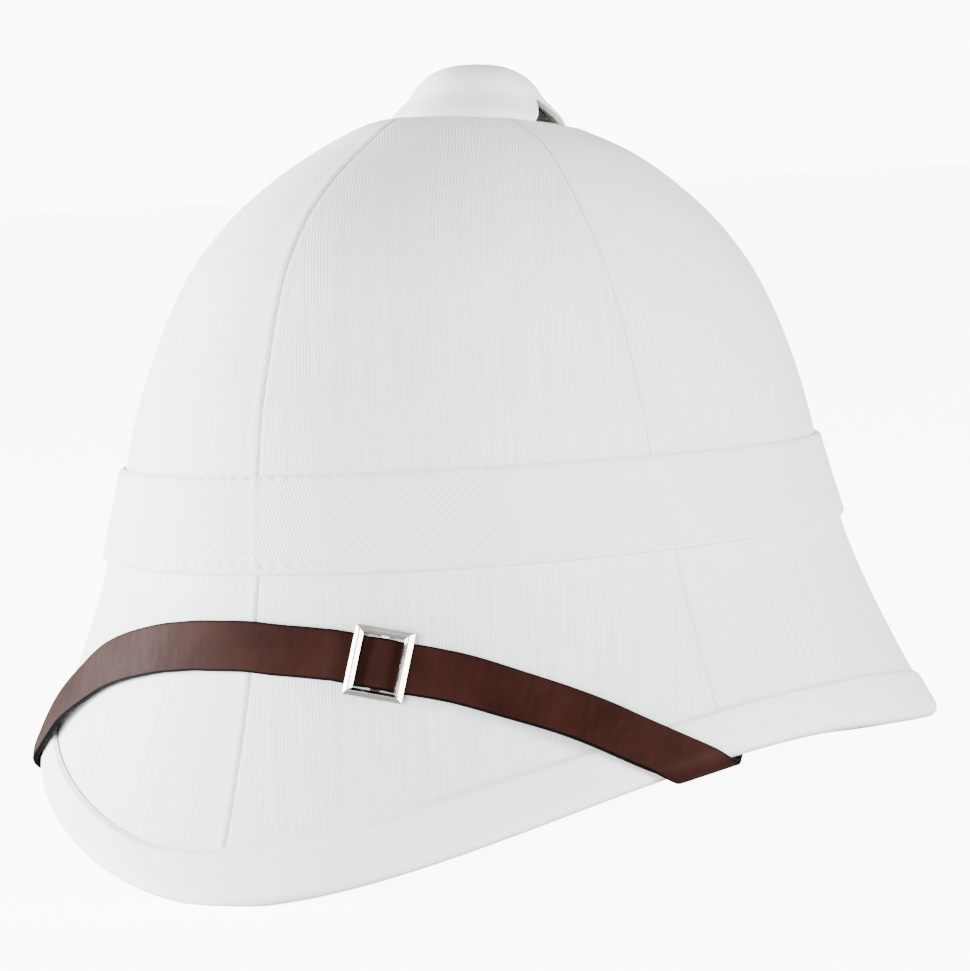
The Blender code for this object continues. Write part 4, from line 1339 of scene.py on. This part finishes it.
    def build(self, rack: FinishRack, place: RestPose, tree: NodeTree) -> list[Object]:
        """Make the tape and its stitches."""
        angles = math.pi + turns_round(self.columns)
        rows = self.rows(angles)
        tape = ring_body("brim_tape", rows, rack["tape"], place.on_floor)
        belongs(tape, "binding_tape", "brim_binding")
        seam = self.ring_at(angles, self.stitch_reach)
        height = self.outer_height(self.stitch_reach) - self.stitch_sink
        sewn = self.stitches.sew(seam.lifted(height), seam.out, place, tree, rack["thread"])
        belongs(sewn, "binding_tape")
        edge = np.concatenate([rows[len(rows) // 3], rows[len(rows) // 3, :1]])
        length = float(lengths_along(edge, axis=0)[-1])
        width = self.outer_leg + math.pi * self.nose_radius + self.inner_leg - 2.0 * self.nose_radius
        width * MM
        LOG.info("binding tape is cut %.0f x %.0f mm", width, length)
        return [tape, sewn]


@dataclass
class HatBand:
    """The flat cloth band round the foot of the crown, hemmed and prick-stitched."""

    form: HelmetForm
    height: float = 25.0
    cloth: float = 1.6
    stitch_step: float = 4.3
    columns_per_stitch: int = 6
    lower_hem: float = 2.2       # from the lower edge to its stitches
    upper_hem: float = 0.9
    dimple: float = 0.60
    dimple_width: float = 0.9
    dimple_height: float = 0.5
    edge_drop: float = 0.75      # how far its folded edges round off, and over what height
    edge_round: float = 0.8
    swell: float = 0.15
    seam_ridge: float = 0.22     # the crown's front seam shows through
    seam_width: float = 1.1
    seam_fade: float = 2.0       # towards its edges
    # Heights of its rows of points over its lower edge, then below its upper edge.
    ups: tuple[float, ...] = (0.0, 0.12, 0.35, 0.75, 1.2, 1.7, 2.2, 2.7, 3.2, 4.2, 5.6, 7.5, 10.0, 12.5)
    downs: tuple[float, ...] = (9.5, 7.0, 5.0, 3.6, 2.6, 1.9, 1.35, 0.9, 0.5, 0.3, 0.12, 0.0)
    stitches: StitchLine = StitchLine("band_stitches", 4.3, 0.60, 0.26, 0.14)

    def station(self, angles: Array, up: float) -> Ring:
        """Ring of the cloth under the band, a distance up from its lower edge."""
        form = self.form
        if up <= 0.0:
            return form.base_ring(angles)
        return form.crown_ring(angles, up / (form.crown_height - form.base_height))

    def build(self, rack: FinishRack, place: RestPose, tree: NodeTree) -> list[Object]:
        """Make the band and its two rows of stitches."""
        form = self.form
        coarse = np.linspace(0.0, FULL_TURN, 721)
        round_it = float(lengths_along(form.crown_point(coarse, 0.02), axis=0)[-1])
        count = round(round_it / self.stitch_step)
        columns = count * self.columns_per_stitch
        lengths = lengths_along(form.crown_point(math.pi + coarse, 0.02), axis=0)
        spots = np.arange(columns) * (lengths[-1] / columns)
        angles = math.pi + np.interp(spots, lengths, coarse)
        phase = (np.arange(columns) % self.columns_per_stitch) / self.columns_per_stitch
        from_stitch = np.minimum(phase, 1.0 - phase) * self.stitch_step
        front = np.abs(angles - FULL_TURN) * form.sections[0].front
        face = form.gap + self.cloth
        rows = []
        for up in (*self.ups, *(self.height - down for down in self.downs)):
            edge = min(up, self.height - up)
            rounding = self.edge_drop * (1.0 - float(ease(edge / self.edge_round)))
            lift = face - rounding + self.swell * math.sin(math.pi * up / self.height)
            hem = self.lower_hem if up < self.height / 2.0 else self.upper_hem
            pinch = self.dimple * bell(edge - hem, self.dimple_height)
            pinch = pinch * bell(from_stitch, self.dimple_width)
            ridge = self.seam_ridge * bell(front, self.seam_width) * float(ease(edge / self.seam_fade))
            rows.append(self.station(angles, up).lifted(lift - pinch + ridge))
        for up in (self.height, self.height * 0.75, self.height * 0.25, 0.0):
            rows.append(self.station(angles, up).lifted(form.gap))
        band = ring_body("band_cloth", np.stack(rows), rack["band"], place)
        belongs(band, "band_twill", "puggaree")
        sewn = []
        for name, up in (("lower", self.lower_hem), ("upper", self.height - self.upper_hem)):
            ring = self.station(angles, up)
            line = replace(self.stitches, name=f"{self.stitches.name}_{name}", step=lengths[-1] / count)
            sewn.append(line.sew(ring.lifted(face - self.dimple), ring.out, place, tree, rack["thread"]))
            belongs(sewn[-1], "band_twill")
        float(lengths[-1]) * MM
        LOG.info("hat band is cut %.0f x %.0f mm, %d stitches a row", self.height, lengths[-1], count)
        return [band, *sewn]


# Ventilator ------------------------------------------------------------------------------

@dataclass(frozen=True)
class ProfilePoint:
    """A point of a turned shape."""

    radius: float
    height: float


@dataclass
class Ventilator:
    """The cloth-covered cap with its two A-shaped vents, and the wire gauze behind them."""

    form: HelmetForm
    place: RestPose
    profile: tuple[ProfilePoint, ...] = (
        ProfilePoint(26.6, 0.0), ProfilePoint(26.0, 1.5), ProfilePoint(23.7, 4.0),
        ProfilePoint(20.5, 7.0), ProfilePoint(18.0, 10.3), ProfilePoint(15.0, 13.0),
        ProfilePoint(11.0, 15.0), ProfilePoint(7.0, 16.0), ProfilePoint(0.0, 16.4),
    )
    gauze_profile: tuple[ProfilePoint, ...] = (
        ProfilePoint(22.8, 0.0), ProfilePoint(20.6, 2.6), ProfilePoint(17.2, 6.0),
        ProfilePoint(14.8, 8.6), ProfilePoint(11.5, 10.9), ProfilePoint(6.5, 12.6),
        ProfilePoint(0.0, 13.1),
    )
    top: float = 238.0
    centre_y: float = -2.0
    wall: float = 1.7
    seat: float = 0.1
    segments: int = 96
    rows: int = 30
    vent_half_width: float = 9.2
    vent_height: float = 7.8
    vent_apex_half_width: float = 0.5
    wire_radius: float = 0.16
    wire_pitch: float = 1.25
    wire_sides: int = 6
    # Outside each radius every first, second or fourth upright wire runs on to the top.
    upright_steps: tuple[tuple[float, int], ...] = ((12.0, 1), (6.0, 2), (-1.0, 4))

    def feet(self, radius: float, turns: Array) -> Array:
        """Heights of the crown under a circle round the cap's axis, with the seat's gap."""
        return np.array([
            self.form.crown_height_at(radius * math.sin(turn), self.centre_y - radius * math.cos(turn))
            for turn in turns]) + self.seat

    def fine_profile(self, profile: Sequence[ProfilePoint], count: int) -> Array:
        """A profile drawn smoothly through its points, as radius and height pairs."""
        corners = np.array([(point.radius, point.height) for point in profile])
        run = lengths_along(corners, axis=0)
        radius = smooth_through(run, corners[:, 0])
        height = smooth_through(run, corners[:, 1])
        spots = np.linspace(0.0, run[-1], count)
        return np.stack([radius(spots), height(spots)], axis=-1)

    def inset(self, line: Array, wall: float) -> Array:
        """The inner face of a wall: the line moved in square to itself, kept inside its foot."""
        along = unit(np.gradient(line, axis=0))
        moved = line + np.stack([-along[:, 1], along[:, 0]], axis=-1) * wall
        kept = moved[(moved[:, 1] > 0.3) & (moved[:, 0] > 0.5)]
        foot = [[float(line[0, 0]) - wall, 0.0]]
        return np.concatenate([foot, kept, [[0.0, float(line[-1, 1]) - wall]]])

    def turned(self, line: Array) -> tuple[Array, Array]:
        """Rows of a turned wall whose foot follows the crown, and its point on the axis."""
        turns = turns_round(self.segments)
        full = self.profile[-1].height
        feet = self.feet(float(line[0, 0]), turns)
        rows = []
        for radius, height in line[:-1]:
            rows.append(np.stack([
                radius * np.sin(turns),
                self.centre_y - radius * np.cos(turns),
                feet + (self.top - feet) * height / full,
            ], axis=-1))
        mean = feet.mean()
        pole = [0.0, self.centre_y, mean + (self.top - mean) * float(line[-1, 1]) / full]
        return np.stack(rows), np.array(pole)

    def cutter(self, rack: FinishRack) -> Object:
        """A prism from side to side with the outline of both vents."""
        rim = self.profile[0].radius
        foot = self.form.crown_height_at(0.0, self.centre_y - rim)
        side_foot = self.form.crown_height_at(rim, self.centre_y)
        below = side_foot - (foot - side_foot) - self.vent_height
        apex = side_foot + self.vent_height
        spread = self.vent_half_width * (apex - below) / self.vent_height
        outline = [
            (self.centre_y - spread, below),
            (self.centre_y + spread, below),
            (self.centre_y + self.vent_apex_half_width, apex),
            (self.centre_y - self.vent_apex_half_width, apex),
        ]
        reach = rim * 2.0
        points = [(side, y, z) for side in (-reach, reach) for y, z in outline]
        return mesh_object(
            "vent_outline", self.place(np.array(points)), BLOCK_FACES, rack["cut_edge"])

    def build_cap(self, rack: FinishRack) -> Object:
        """Make the hollow cap and cut both vents through it."""
        outline = self.fine_profile(self.profile, self.rows)
        outer, outer_pole = self.turned(outline)
        inner, inner_pole = self.turned(self.inset(outline, self.wall))
        rows = np.concatenate([outer[::-1], inner])
        count, segments = rows.shape[:2]
        faces = grid_faces(count, segments, closed=True)
        last = (count - 1) * segments
        for column in range(segments):
            following = (column + 1) % segments
            faces.append((count * segments, column, following))
            faces.append((count * segments + 1, last + following, last + column))
        points = np.concatenate([rows.reshape(-1, 3), [outer_pole, inner_pole]])
        cap = mesh_object("cap_cloth", self.place(points), faces, rack["cap"])
        map_cloth(cap, points[:, 0], points[:, 1])
        cut_out(cap, self.cutter(rack))
        cap.data.set_sharp_from_angle(angle=math.radians(40.0))
        return belongs(cap, "white_cotton", "vent_cap")

    def gauze_tree(self) -> NodeTree:
        """The node tree that turns every edge of a grid into a wire."""
        tree = group_tree("woven_wires", ("Wire Radius",), "Wire")
        add = partial(add_node, tree)
        given = add("NodeGroupInput").outputs
        lines = add("GeometryNodeMeshToCurve", inputs={"Mesh": given["Geometry"]})
        circle = add("GeometryNodeCurvePrimitiveCircle", inputs={
            "Resolution": self.wire_sides, "Radius": given["Wire Radius"]})
        wires = add("GeometryNodeCurveToMesh", inputs={
            "Curve": lines, "Profile Curve": circle,
            "Fill Caps": True})
        real = add("GeometryNodeRealizeInstances", inputs={"Geometry": wires})
        dyed = add("GeometryNodeSetMaterial", inputs={"Geometry": real, "Material": given["Wire"]})
        add("NodeGroupOutput", inputs={"Geometry": dyed})
        return tree

    def build_gauze(self, rack: FinishRack) -> Object:
        """Make the gauze cup: rings and uprights of wire."""
        corners = np.array([(point.radius, point.height) for point in self.gauze_profile])
        outline = self.fine_profile(
            self.gauze_profile, round(float(lengths_along(corners, axis=0)[-1]) / self.wire_pitch))
        rows, _ = self.turned(outline)
        count, segments = rows.shape[:2]
        lines = []
        for row in range(count):
            start = row * segments
            lines += [(start + column, start + (column + 1) % segments) for column in range(segments)]
        for row in range(count - 1):
            start = row * segments
            stride = next(step for radius, step in self.upright_steps if outline[row, 0] > radius)
            lines += [(start + column, start + segments + column)
                      for column in range(0, segments, stride)]
        mesh = bpy.data.meshes.new("vent_wires")
        mesh.from_pydata(self.place(rows).reshape(-1, 3).tolist(), lines, [])
        item = new_object("vent_wires", mesh)
        run_tree(item, self.gauze_tree(), {"Wire Radius": self.wire_radius * MM, "Wire": rack["gauze"]})
        item.data.shade_smooth()
        return belongs(item, "dark_gauze", "vent_gauze")


# Chin strap ------------------------------------------------------------------------------

@dataclass(frozen=True)
class StrapPoint:
    """A place of the strap's middle line: degrees from its middle, and across the brim."""

    turn: float
    place: float


@dataclass
class StrapFrame:
    """A level frame on the strap's seat."""

    centre: Array
    along: Array
    across: Array
    out: Array


@dataclass
class ChinStrap:
    """The strap, a whole loop over the front, under the brim and up the inside wall.

    A place across the brim is 0 where the nose begins, positive up the outside, and
    negative round the nose and under it.
    """

    form: HelmetForm
    binding: BrimBinding
    place: RestPose
    line: tuple[StrapPoint, ...] = (
        StrapPoint(-84.0, -62.5), StrapPoint(-62.0, -18.0), StrapPoint(-57.0, -7.5),
        StrapPoint(-53.0, 3.0), StrapPoint(-49.0, 12.5), StrapPoint(-45.0, 22.1),
        StrapPoint(-40.0, 31.6), StrapPoint(-31.0, 46.3), StrapPoint(-21.0, 58.0),
        StrapPoint(-14.0, 63.9), StrapPoint(-7.0, 67.4), StrapPoint(0.0, 68.6), StrapPoint(7.0, 67.0),
        StrapPoint(14.0, 63.7), StrapPoint(21.0, 57.4), StrapPoint(31.0, 46.7), StrapPoint(40.0, 33.3),
        StrapPoint(45.0, 25.0), StrapPoint(49.0, 17.6), StrapPoint(53.0, 9.4), StrapPoint(56.0, 3.4),
        StrapPoint(59.0, -2.6), StrapPoint(62.0, -9.5), StrapPoint(84.0, -62.5),
    )
    width: float = 14.0
    thickness: float = 1.6
    middle_turn: float = -1.5
    lift: float = 0.7
    nose_lift: float = 0.9
    rise_start: float = 26.0
    rise_length: float = 25.0
    step: float = 1.0
    corner: float = 0.5          # radius of its rounded edges
    dome: float = 0.12
    buckle_turn: float = 21.5
    hump: float = 1.8
    hump_flat: float = 1.5
    hump_foot: float = 5.7
    flat_half_length: float = 9.0
    flat_fade: float = 8.0
    stud_from_end: float = 7.0
    hole_radius: float = 1.9
    hole_sides: int = 16
    drill: tuple[float, float] = (-3.0, 5.0)  # heights from which to which a hole is cut
    face_points: int = 11        # across its face and its back
    back_points: int = 7

    def __post_init__(self) -> None:
        """Make the curve of the middle line and the sizes of the wrap."""
        turns, places = zip(*[(point.turn, point.place) for point in self.line])
        self.place_at = smooth_through(turns, places)
        self.wrap_radius = self.binding.nose_radius + self.nose_lift + self.thickness / 2.0
        self.wrap = math.pi * self.wrap_radius

    def wrapped(self, turn: Any, place: Any, height: Any) -> Array:
        """Points over the brim, up, round or under it.

        Args:
            turn: Degrees round the helmet.
            place: Place across the brim.
            height: Height out of the strap's seat.

        Returns:
            The drawn points, one row each.
        """
        turn, place, height = (values.ravel() for values in together(turn, place, height))
        binding, form = self.binding, self.form
        under = place < -self.wrap
        reach = np.where(under, -place - self.wrap, np.maximum(place, 0.0)) + binding.nose_radius
        ring = form.brim_ring(np.radians(turn), reach)
        from_binding = reach - binding.outer_leg
        over_binding = ease((self.rise_start - from_binding) / self.rise_length)
        top = self.lift + (binding.top + self.nose_lift - self.lift) * over_binding + height
        wall = form.brim_wall(from_binding / (form.brim_length(np.radians(turn)) - binding.outer_leg))
        bottom = np.minimum(binding.under, form.cork_top - wall) - self.nose_lift - height
        flat = ring.points + ring.out * np.where(under, bottom, top)[:, None]
        swing = np.clip(-place / self.wrap_radius, 0.0, math.pi)
        round_nose = binding.nose_arc(ring, binding.nose_radius + self.nose_lift + height, swing)
        return np.where(((place <= 0.0) & ~under)[:, None], round_nose, flat)

    def middle_line(self) -> tuple[Array, Array, Array]:
        """The middle line from end to end: turns, places and length from the middle."""
        turn = np.linspace(-self.line[-1].turn, self.line[-1].turn, 721)
        place = self.place_at(turn)
        points = self.wrapped(turn + self.middle_turn, place, self.thickness / 2.0)
        length = lengths_along(points, axis=0)
        return turn, place, length - np.interp(0.0, turn, length)

    def square_to_path(self, turn: Array, place: Array, length: Array) -> tuple[Array, Array]:
        """Steps in turn and place that go 1 mm across the strap, square to its middle line.

        Args:
            turn: Degrees from the strap's middle, for each point of the middle line.
            place: Its place across the brim.
            length: Its length from the strap's middle.

        Returns:
            The two steps at each point.
        """
        at, step = turn + self.middle_turn, 0.25
        mid = self.thickness / 2.0
        turned = (self.wrapped(at + step, place, mid) - self.wrapped(at - step, place, mid)) / (2.0 * step)
        moved = (self.wrapped(at, place + step, mid) - self.wrapped(at, place - step, mid)) / (2.0 * step)
        run, rise = np.gradient(turn, length), np.gradient(place, length)
        turned_moved = (turned * moved).sum(axis=1)
        side_turn = -(turned_moved * run + (moved * moved).sum(axis=1) * rise)
        side_place = (turned * turned).sum(axis=1) * run + turned_moved * rise
        size = np.linalg.norm(turned * side_turn[:, None] + moved * side_place[:, None], axis=1)
        return side_turn / size, side_place / size

    def frame_at(self, turn: float) -> StrapFrame:
        """A level frame on the strap's seat at one turn from its middle."""
        turns = np.array([turn - 0.5, turn, turn + 0.5])
        line = self.wrapped(turns + self.middle_turn, self.place_at(turns), 0.0)
        lifted = self.wrapped(turn + self.middle_turn, self.place_at(turn), 1.0)[0]
        out = unit(lifted - line[1])
        across = unit(np.cross(out, line[2] - line[0]))
        return StrapFrame(line[1], np.cross(across, out), across, out)

    def section(self) -> Array:
        """The strap's rounded cross-section: across and height, going round once."""
        half, thick, corner = self.width / 2.0, self.thickness, self.corner
        flat = np.linspace(-(half - corner), half - corner, self.face_points)
        turns = np.radians([22.5, 45.0, 67.5])
        points = [(place, thick + self.dome * (1.0 - (place / half) ** 2)) for place in flat]
        points += [(half - corner + corner * math.sin(t), thick - corner * (1.0 - math.cos(t)))
                   for t in (*turns, math.pi / 2.0)]
        points += [(half - corner * (1.0 - math.cos(t)), corner * (1.0 - math.sin(t)))
                   for t in (0.0, *turns)]
        points += [(place, 0.0)
                   for place in np.linspace(half - corner, corner - half, self.back_points)]
        points += [(-(half - corner) - corner * math.sin(t), corner * (1.0 - math.cos(t)))
                   for t in (*turns, math.pi / 2.0)]
        points += [(-half + corner * (1.0 - math.cos(t)), thick - corner * (1.0 - math.sin(t)))
                   for t in (0.0, *turns)]
        return np.array(points)

    def build(self, rack: FinishRack) -> Object:
        """Make the strap along its whole length, with its two stud holes."""
        turn, place, length = self.middle_line()
        count = round((length[-1] - length[0]) / self.step) + 1
        stops = np.linspace(length[0], length[-1], count)
        buckle = float(np.interp(self.buckle_turn, turn, length))
        middle_turn, middle_place = np.interp(stops, length, turn), np.interp(stops, length, place)
        side_turn, side_place = self.square_to_path(middle_turn, middle_place, stops)
        from_buckle = np.abs(stops - buckle)
        hump = self.hump * ease((self.hump_foot - from_buckle) / (self.hump_foot - self.hump_flat))
        held = ease(1.0 - (from_buckle - self.flat_half_length) / self.flat_fade)
        level_frame = self.frame_at(self.buckle_turn)
        section = self.section()
        columns = []
        for across, height in section:
            points = self.wrapped(middle_turn + self.middle_turn + side_turn * across,
                                  middle_place + side_place * across, hump + height)
            level = (points - level_frame.centre) @ level_frame.out
            columns.append(points + ((hump + height - level) * held)[:, None] * level_frame.out)
        grid = np.stack(columns, axis=1)
        rows, sides = grid.shape[:2]
        faces = grid_faces(rows, sides, closed=True)
        faces.append(tuple(range(sides)))
        faces.append(tuple(range((rows - 1) * sides, rows * sides)))
        strap = mesh_object("strap_leather", self.place(grid), faces, rack["leather"], sharp=60.0)
        along = np.broadcast_to(stops[:, None], (rows, sides))
        map_cloth(strap, along, np.broadcast_to(section[:, 0], (rows, sides)))
        LOG.info("strap's middle line is %.1f mm long", length[-1] - length[0])
        self.pierce(strap, float(np.interp(length[-1] - self.stud_from_end, length, turn)), rack)
        return belongs(strap, "brown_leather", "chin_strap")

    def pierce(self, strap: Object, stud_turn: float, rack: FinishRack) -> None:
        """Cut the stud hole near each end."""
        for side in (-1.0, 1.0):
            level = self.frame_at(side * stud_turn)
            turns = turns_round(self.hole_sides)
            circle = np.cos(turns)[:, None] * level.along + np.sin(turns)[:, None] * level.across
            foot = level.centre + circle * self.hole_radius
            low, high = self.drill
            points = np.concatenate([foot + low * level.out, foot + high * level.out])
            faces = grid_faces(2, self.hole_sides, closed=True)
            faces += [tuple(range(start, start + self.hole_sides)) for start in (0, self.hole_sides)]
            cut_out(strap, mesh_object("stud_drill", self.place(points), faces, rack["leather"]))


@dataclass
class SlideBuckle:
    """A cast slide buckle: a bevelled frame with a centre bar that the strap rises over."""

    strap: ChinStrap
    length: float = 16.6
    width: float = 19.4
    side_bar: float = 2.6
    end_bar: float = 2.1
    centre_bar: float = 2.4
    foot: float = 0.9
    bar_top: float = 2.1
    frame_top: float = 4.8
    ridge: tuple[float, float] = (0.50, 0.58)  # shares of a bar's width where it is highest
    outer_fall: float = 1.2      # from the ridge to the outer and the inner edge
    inner_fall: float = 0.9
    bevel: float = 0.16
    bevel_steps: int = 3
    lug: float = 2.1             # half length of the swelling where the centre bar joins
    lug_inset: float = 0.05      # inside the frame's outer side
    lug_rise: float = 0.3        # into the frame
    overlap: float = 0.5         # of the centre bar with the frame

    @property
    def frame_low(self) -> float:
        """Height of the frame's under side over the strap's seat."""
        return self.strap.thickness + self.strap.form.gap

    def local(self, points: Array) -> Array:
        """Turn points of the buckle's own frame into drawn ones."""
        level = self.strap.frame_at(self.strap.buckle_turn)
        return (level.centre + points[..., 0:1] * level.along + points[..., 1:2] * level.across
                + points[..., 2:3] * level.out)

    def frame_loops(self) -> list[Array]:
        """The mitred frame as closed loops: out over its ridge, in and back underneath."""
        low, top = self.frame_low, self.frame_top - self.strap.lift
        loops = []
        for share, height in ((0.0, low), (0.0, top - self.outer_fall), (self.ridge[0], top),
                              (self.ridge[1], top), (1.0, top - self.inner_fall), (1.0, low)):
            half_x = self.length / 2.0 - share * self.side_bar
            half_y = self.width / 2.0 - share * self.end_bar
            corners = ((-half_x, -half_y), (half_x, -half_y), (half_x, half_y), (-half_x, half_y))
            loops.append(np.array([(x, y, height) for x, y in corners]))
        return loops

    def block(self, low: tuple[float, float, float], high: tuple[float, float, float]) -> Array:
        """The eight corners of a block, in the order that BLOCK_FACES names them."""
        return np.array([(x, y, z) for z in (low[2], high[2])
                         for x, y in ((low[0], low[1]), (high[0], low[1]),
                                      (high[0], high[1]), (low[0], high[1]))])

    def build(self, rack: FinishRack) -> Object:
        """Make the buckle as one object."""
        seat = self.strap.lift
        loops = self.frame_loops()
        points = np.concatenate(loops)
        faces = []
        for index in range(len(loops)):
            here, following = index * 4, ((index + 1) % len(loops)) * 4
            for corner in range(4):
                beyond = (corner + 1) % 4
                faces.append((here + corner, here + beyond, following + beyond, following + corner))
        low, inner = self.foot - seat, self.width / 2.0 - self.end_bar
        half = self.centre_bar / 2.0
        end = inner + self.overlap
        blocks = [((-half, -end, low), (half, end, self.bar_top - seat))]
        for side in (-1.0, 1.0):
            ends = sorted((side * inner, side * (self.width / 2.0 - self.lug_inset)))
            blocks.append(((-self.lug, ends[0], low), (self.lug, ends[1], self.frame_low + self.lug_rise)))
        for corners in blocks:
            start = len(points)
            points = np.concatenate([points, self.block(*corners)])
            faces += [tuple(start + corner for corner in face) for face in BLOCK_FACES]
        item = mesh_object("buckle_frame", self.strap.place(self.local(points)), faces,
                           rack["buckle"], sharp=180.0)
        soften = item.modifiers.new("soften", "BEVEL")
        soften.width = self.bevel * MM
        soften.segments = self.bevel_steps
        soften.limit_method = "ANGLE"
        soften.angle_limit = math.radians(18.0)
        soften.harden_normals = True
        return belongs(baked(item), "plated_steel", "buckle")


# Studio ----------------------------------------------------------------------------------

@dataclass(frozen=True)
class SoftBox:
    """A square studio light that hangs round the helmet and faces it."""

    name: str
    azimuth: float               # degrees, 0 in front and 90 at the wearer's left
    elevation: float
    distance: float              # metres
    size: float
    power: float
    colour: str = "#ffffff"


@dataclass
class Studio:
    """The floor, the lights and the camera."""

    azimuth: float = 29.838
    elevation: float = 4.387
    roll: float = -3.276
    distance: float = 1.23068
    target: tuple[float, float, float] = (0.00053, -0.00154, 0.09816)
    lens: float = 152.85
    floor_size: float = 60.0
    wall_seen: float = 11.0       # the white walls look as bright as the lit table
    wall_given: float = 0.05
    lights: tuple[SoftBox, ...] = (
        SoftBox("left_window", -62.0, 3.0, 1.6, 0.9, 150.0),
        SoftBox("left_far_window", -85.0, 4.0, 1.6, 0.9, 75.0),
        SoftBox("right_window", 97.0, 3.0, 1.8, 0.9, 132.0),
        SoftBox("front_fill", 8.0, 5.0, 1.8, 0.9, 62.0),
    )

    def towards(self, azimuth: float, elevation: float) -> Vector:
        """Unit vector from the helmet towards a place round it."""
        turn, rise = math.radians(azimuth), math.radians(elevation)
        return Vector((math.sin(turn) * math.cos(rise), -math.cos(turn) * math.cos(rise),
                       math.sin(rise)))

    def hang_light(self, box: SoftBox) -> None:
        """Hang one light, facing the helmet."""
        lamp = bpy.data.lights.new(box.name, "AREA")
        lamp.shape = "SQUARE"
        lamp.size = box.size
        lamp.energy = box.power
        lamp.color = linear(box.colour)[:3]
        item = new_object(box.name, lamp)
        away = self.towards(box.azimuth, box.elevation)
        item.location = Vector(self.target) + away * box.distance
        item.rotation_euler = away.to_track_quat("Z", "Y").to_euler()

    def place_camera(self) -> None:
        """Stand the camera where the photograph was taken from."""
        back = self.towards(self.azimuth, self.elevation)
        level = Vector((0.0, 0.0, 1.0)).cross(back).normalized()
        upright = back.cross(level)
        turn = math.radians(self.roll)
        right = level * math.cos(turn) + upright * math.sin(turn)
        up = upright * math.cos(turn) - level * math.sin(turn)
        matrix = Matrix((right, up, back)).transposed().to_4x4()
        matrix.translation = Vector(self.target) + back * self.distance
        data = bpy.data.cameras.new("camera")
        data.lens = self.lens
        data.sensor_width = 36.0
        data.clip_end = 200.0
        camera = new_object("camera", data)
        camera.matrix_world = matrix
        bpy.context.scene.camera = camera

    def lay_floor(self, rack: FinishRack) -> None:
        """Lay the plain pale floor."""
        half = self.floor_size / 2.0
        corners = np.array([(-half, -half, 0.0), (half, -half, 0.0), (half, half, 0.0), (-half, half, 0.0)])
        floor = mesh_object("floor", corners, [(0, 1, 2, 3)], rack["table"])

    def fill_world(self) -> None:
        """Surround the helmet with even white walls."""
        world = bpy.data.worlds.new("studio")
        world.use_nodes = True
        add = partial(add_node, world.node_tree)
        set_inputs(world.node_tree.nodes["Background"], {
            "Color": linear("#ffffff"),
            "Strength": seen_power(add, self.wall_seen, self.wall_given)})
        bpy.context.scene.world = world

    def build(self, rack: FinishRack) -> None:
        """Set up the whole studio."""
        self.place_camera()
        self.lay_floor(rack)
        self.fill_world()
        for box in self.lights:
            self.hang_light(box)


# Assembly --------------------------------------------------------------------------------

def polish_studs(rack: FinishRack) -> None:
    """Give the two packed studs their turned brass."""
    for name in ("strap_stud_left", "strap_stud_right"):
        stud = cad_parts[name]
        for holder in stud.material_slots:
            holder.material = rack["brass"]


def main() -> None:
    """Build the studio and every piece in order."""
    logging.basicConfig(level=logging.INFO, format="%(name)s: %(message)s")
    rack = FinishRack(Finishes())
    Studio().build(rack)
    form = HelmetForm()
    binding = BrimBinding(form)
    place = RestPose()
    place.settle(binding.rest_points())
    LOG.info("rest pose: pitch %.4f degrees, shift %s mm", math.degrees(place.pitch), place.shift)
    stitch_tree = StitchTree().build()
    strap = ChinStrap(form, binding, place)
    ventilator = Ventilator(form, place)
    jobs = (
        ("cork body", lambda: CorkBody(form, place, binding.outer_leg).build(rack)),
        ("cloth gores", lambda: GoreCover(form, place).build(rack)),
        ("brim binding", lambda: binding.build(rack, place, stitch_tree)),
        ("hat band", lambda: HatBand(form).build(rack, place, stitch_tree)),
        ("ventilator cap", lambda: ventilator.build_cap(rack)),
        ("wire gauze", lambda: ventilator.build_gauze(rack)),
        ("chin strap", lambda: strap.build(rack)),
        ("slide buckle", lambda: SlideBuckle(strap).build(rack)),
        ("studs", lambda: polish_studs(rack)),
    )
    for name, job in jobs:
        job()
        LOG.info("%s made", name)


if __name__ == "__main__":
    main()
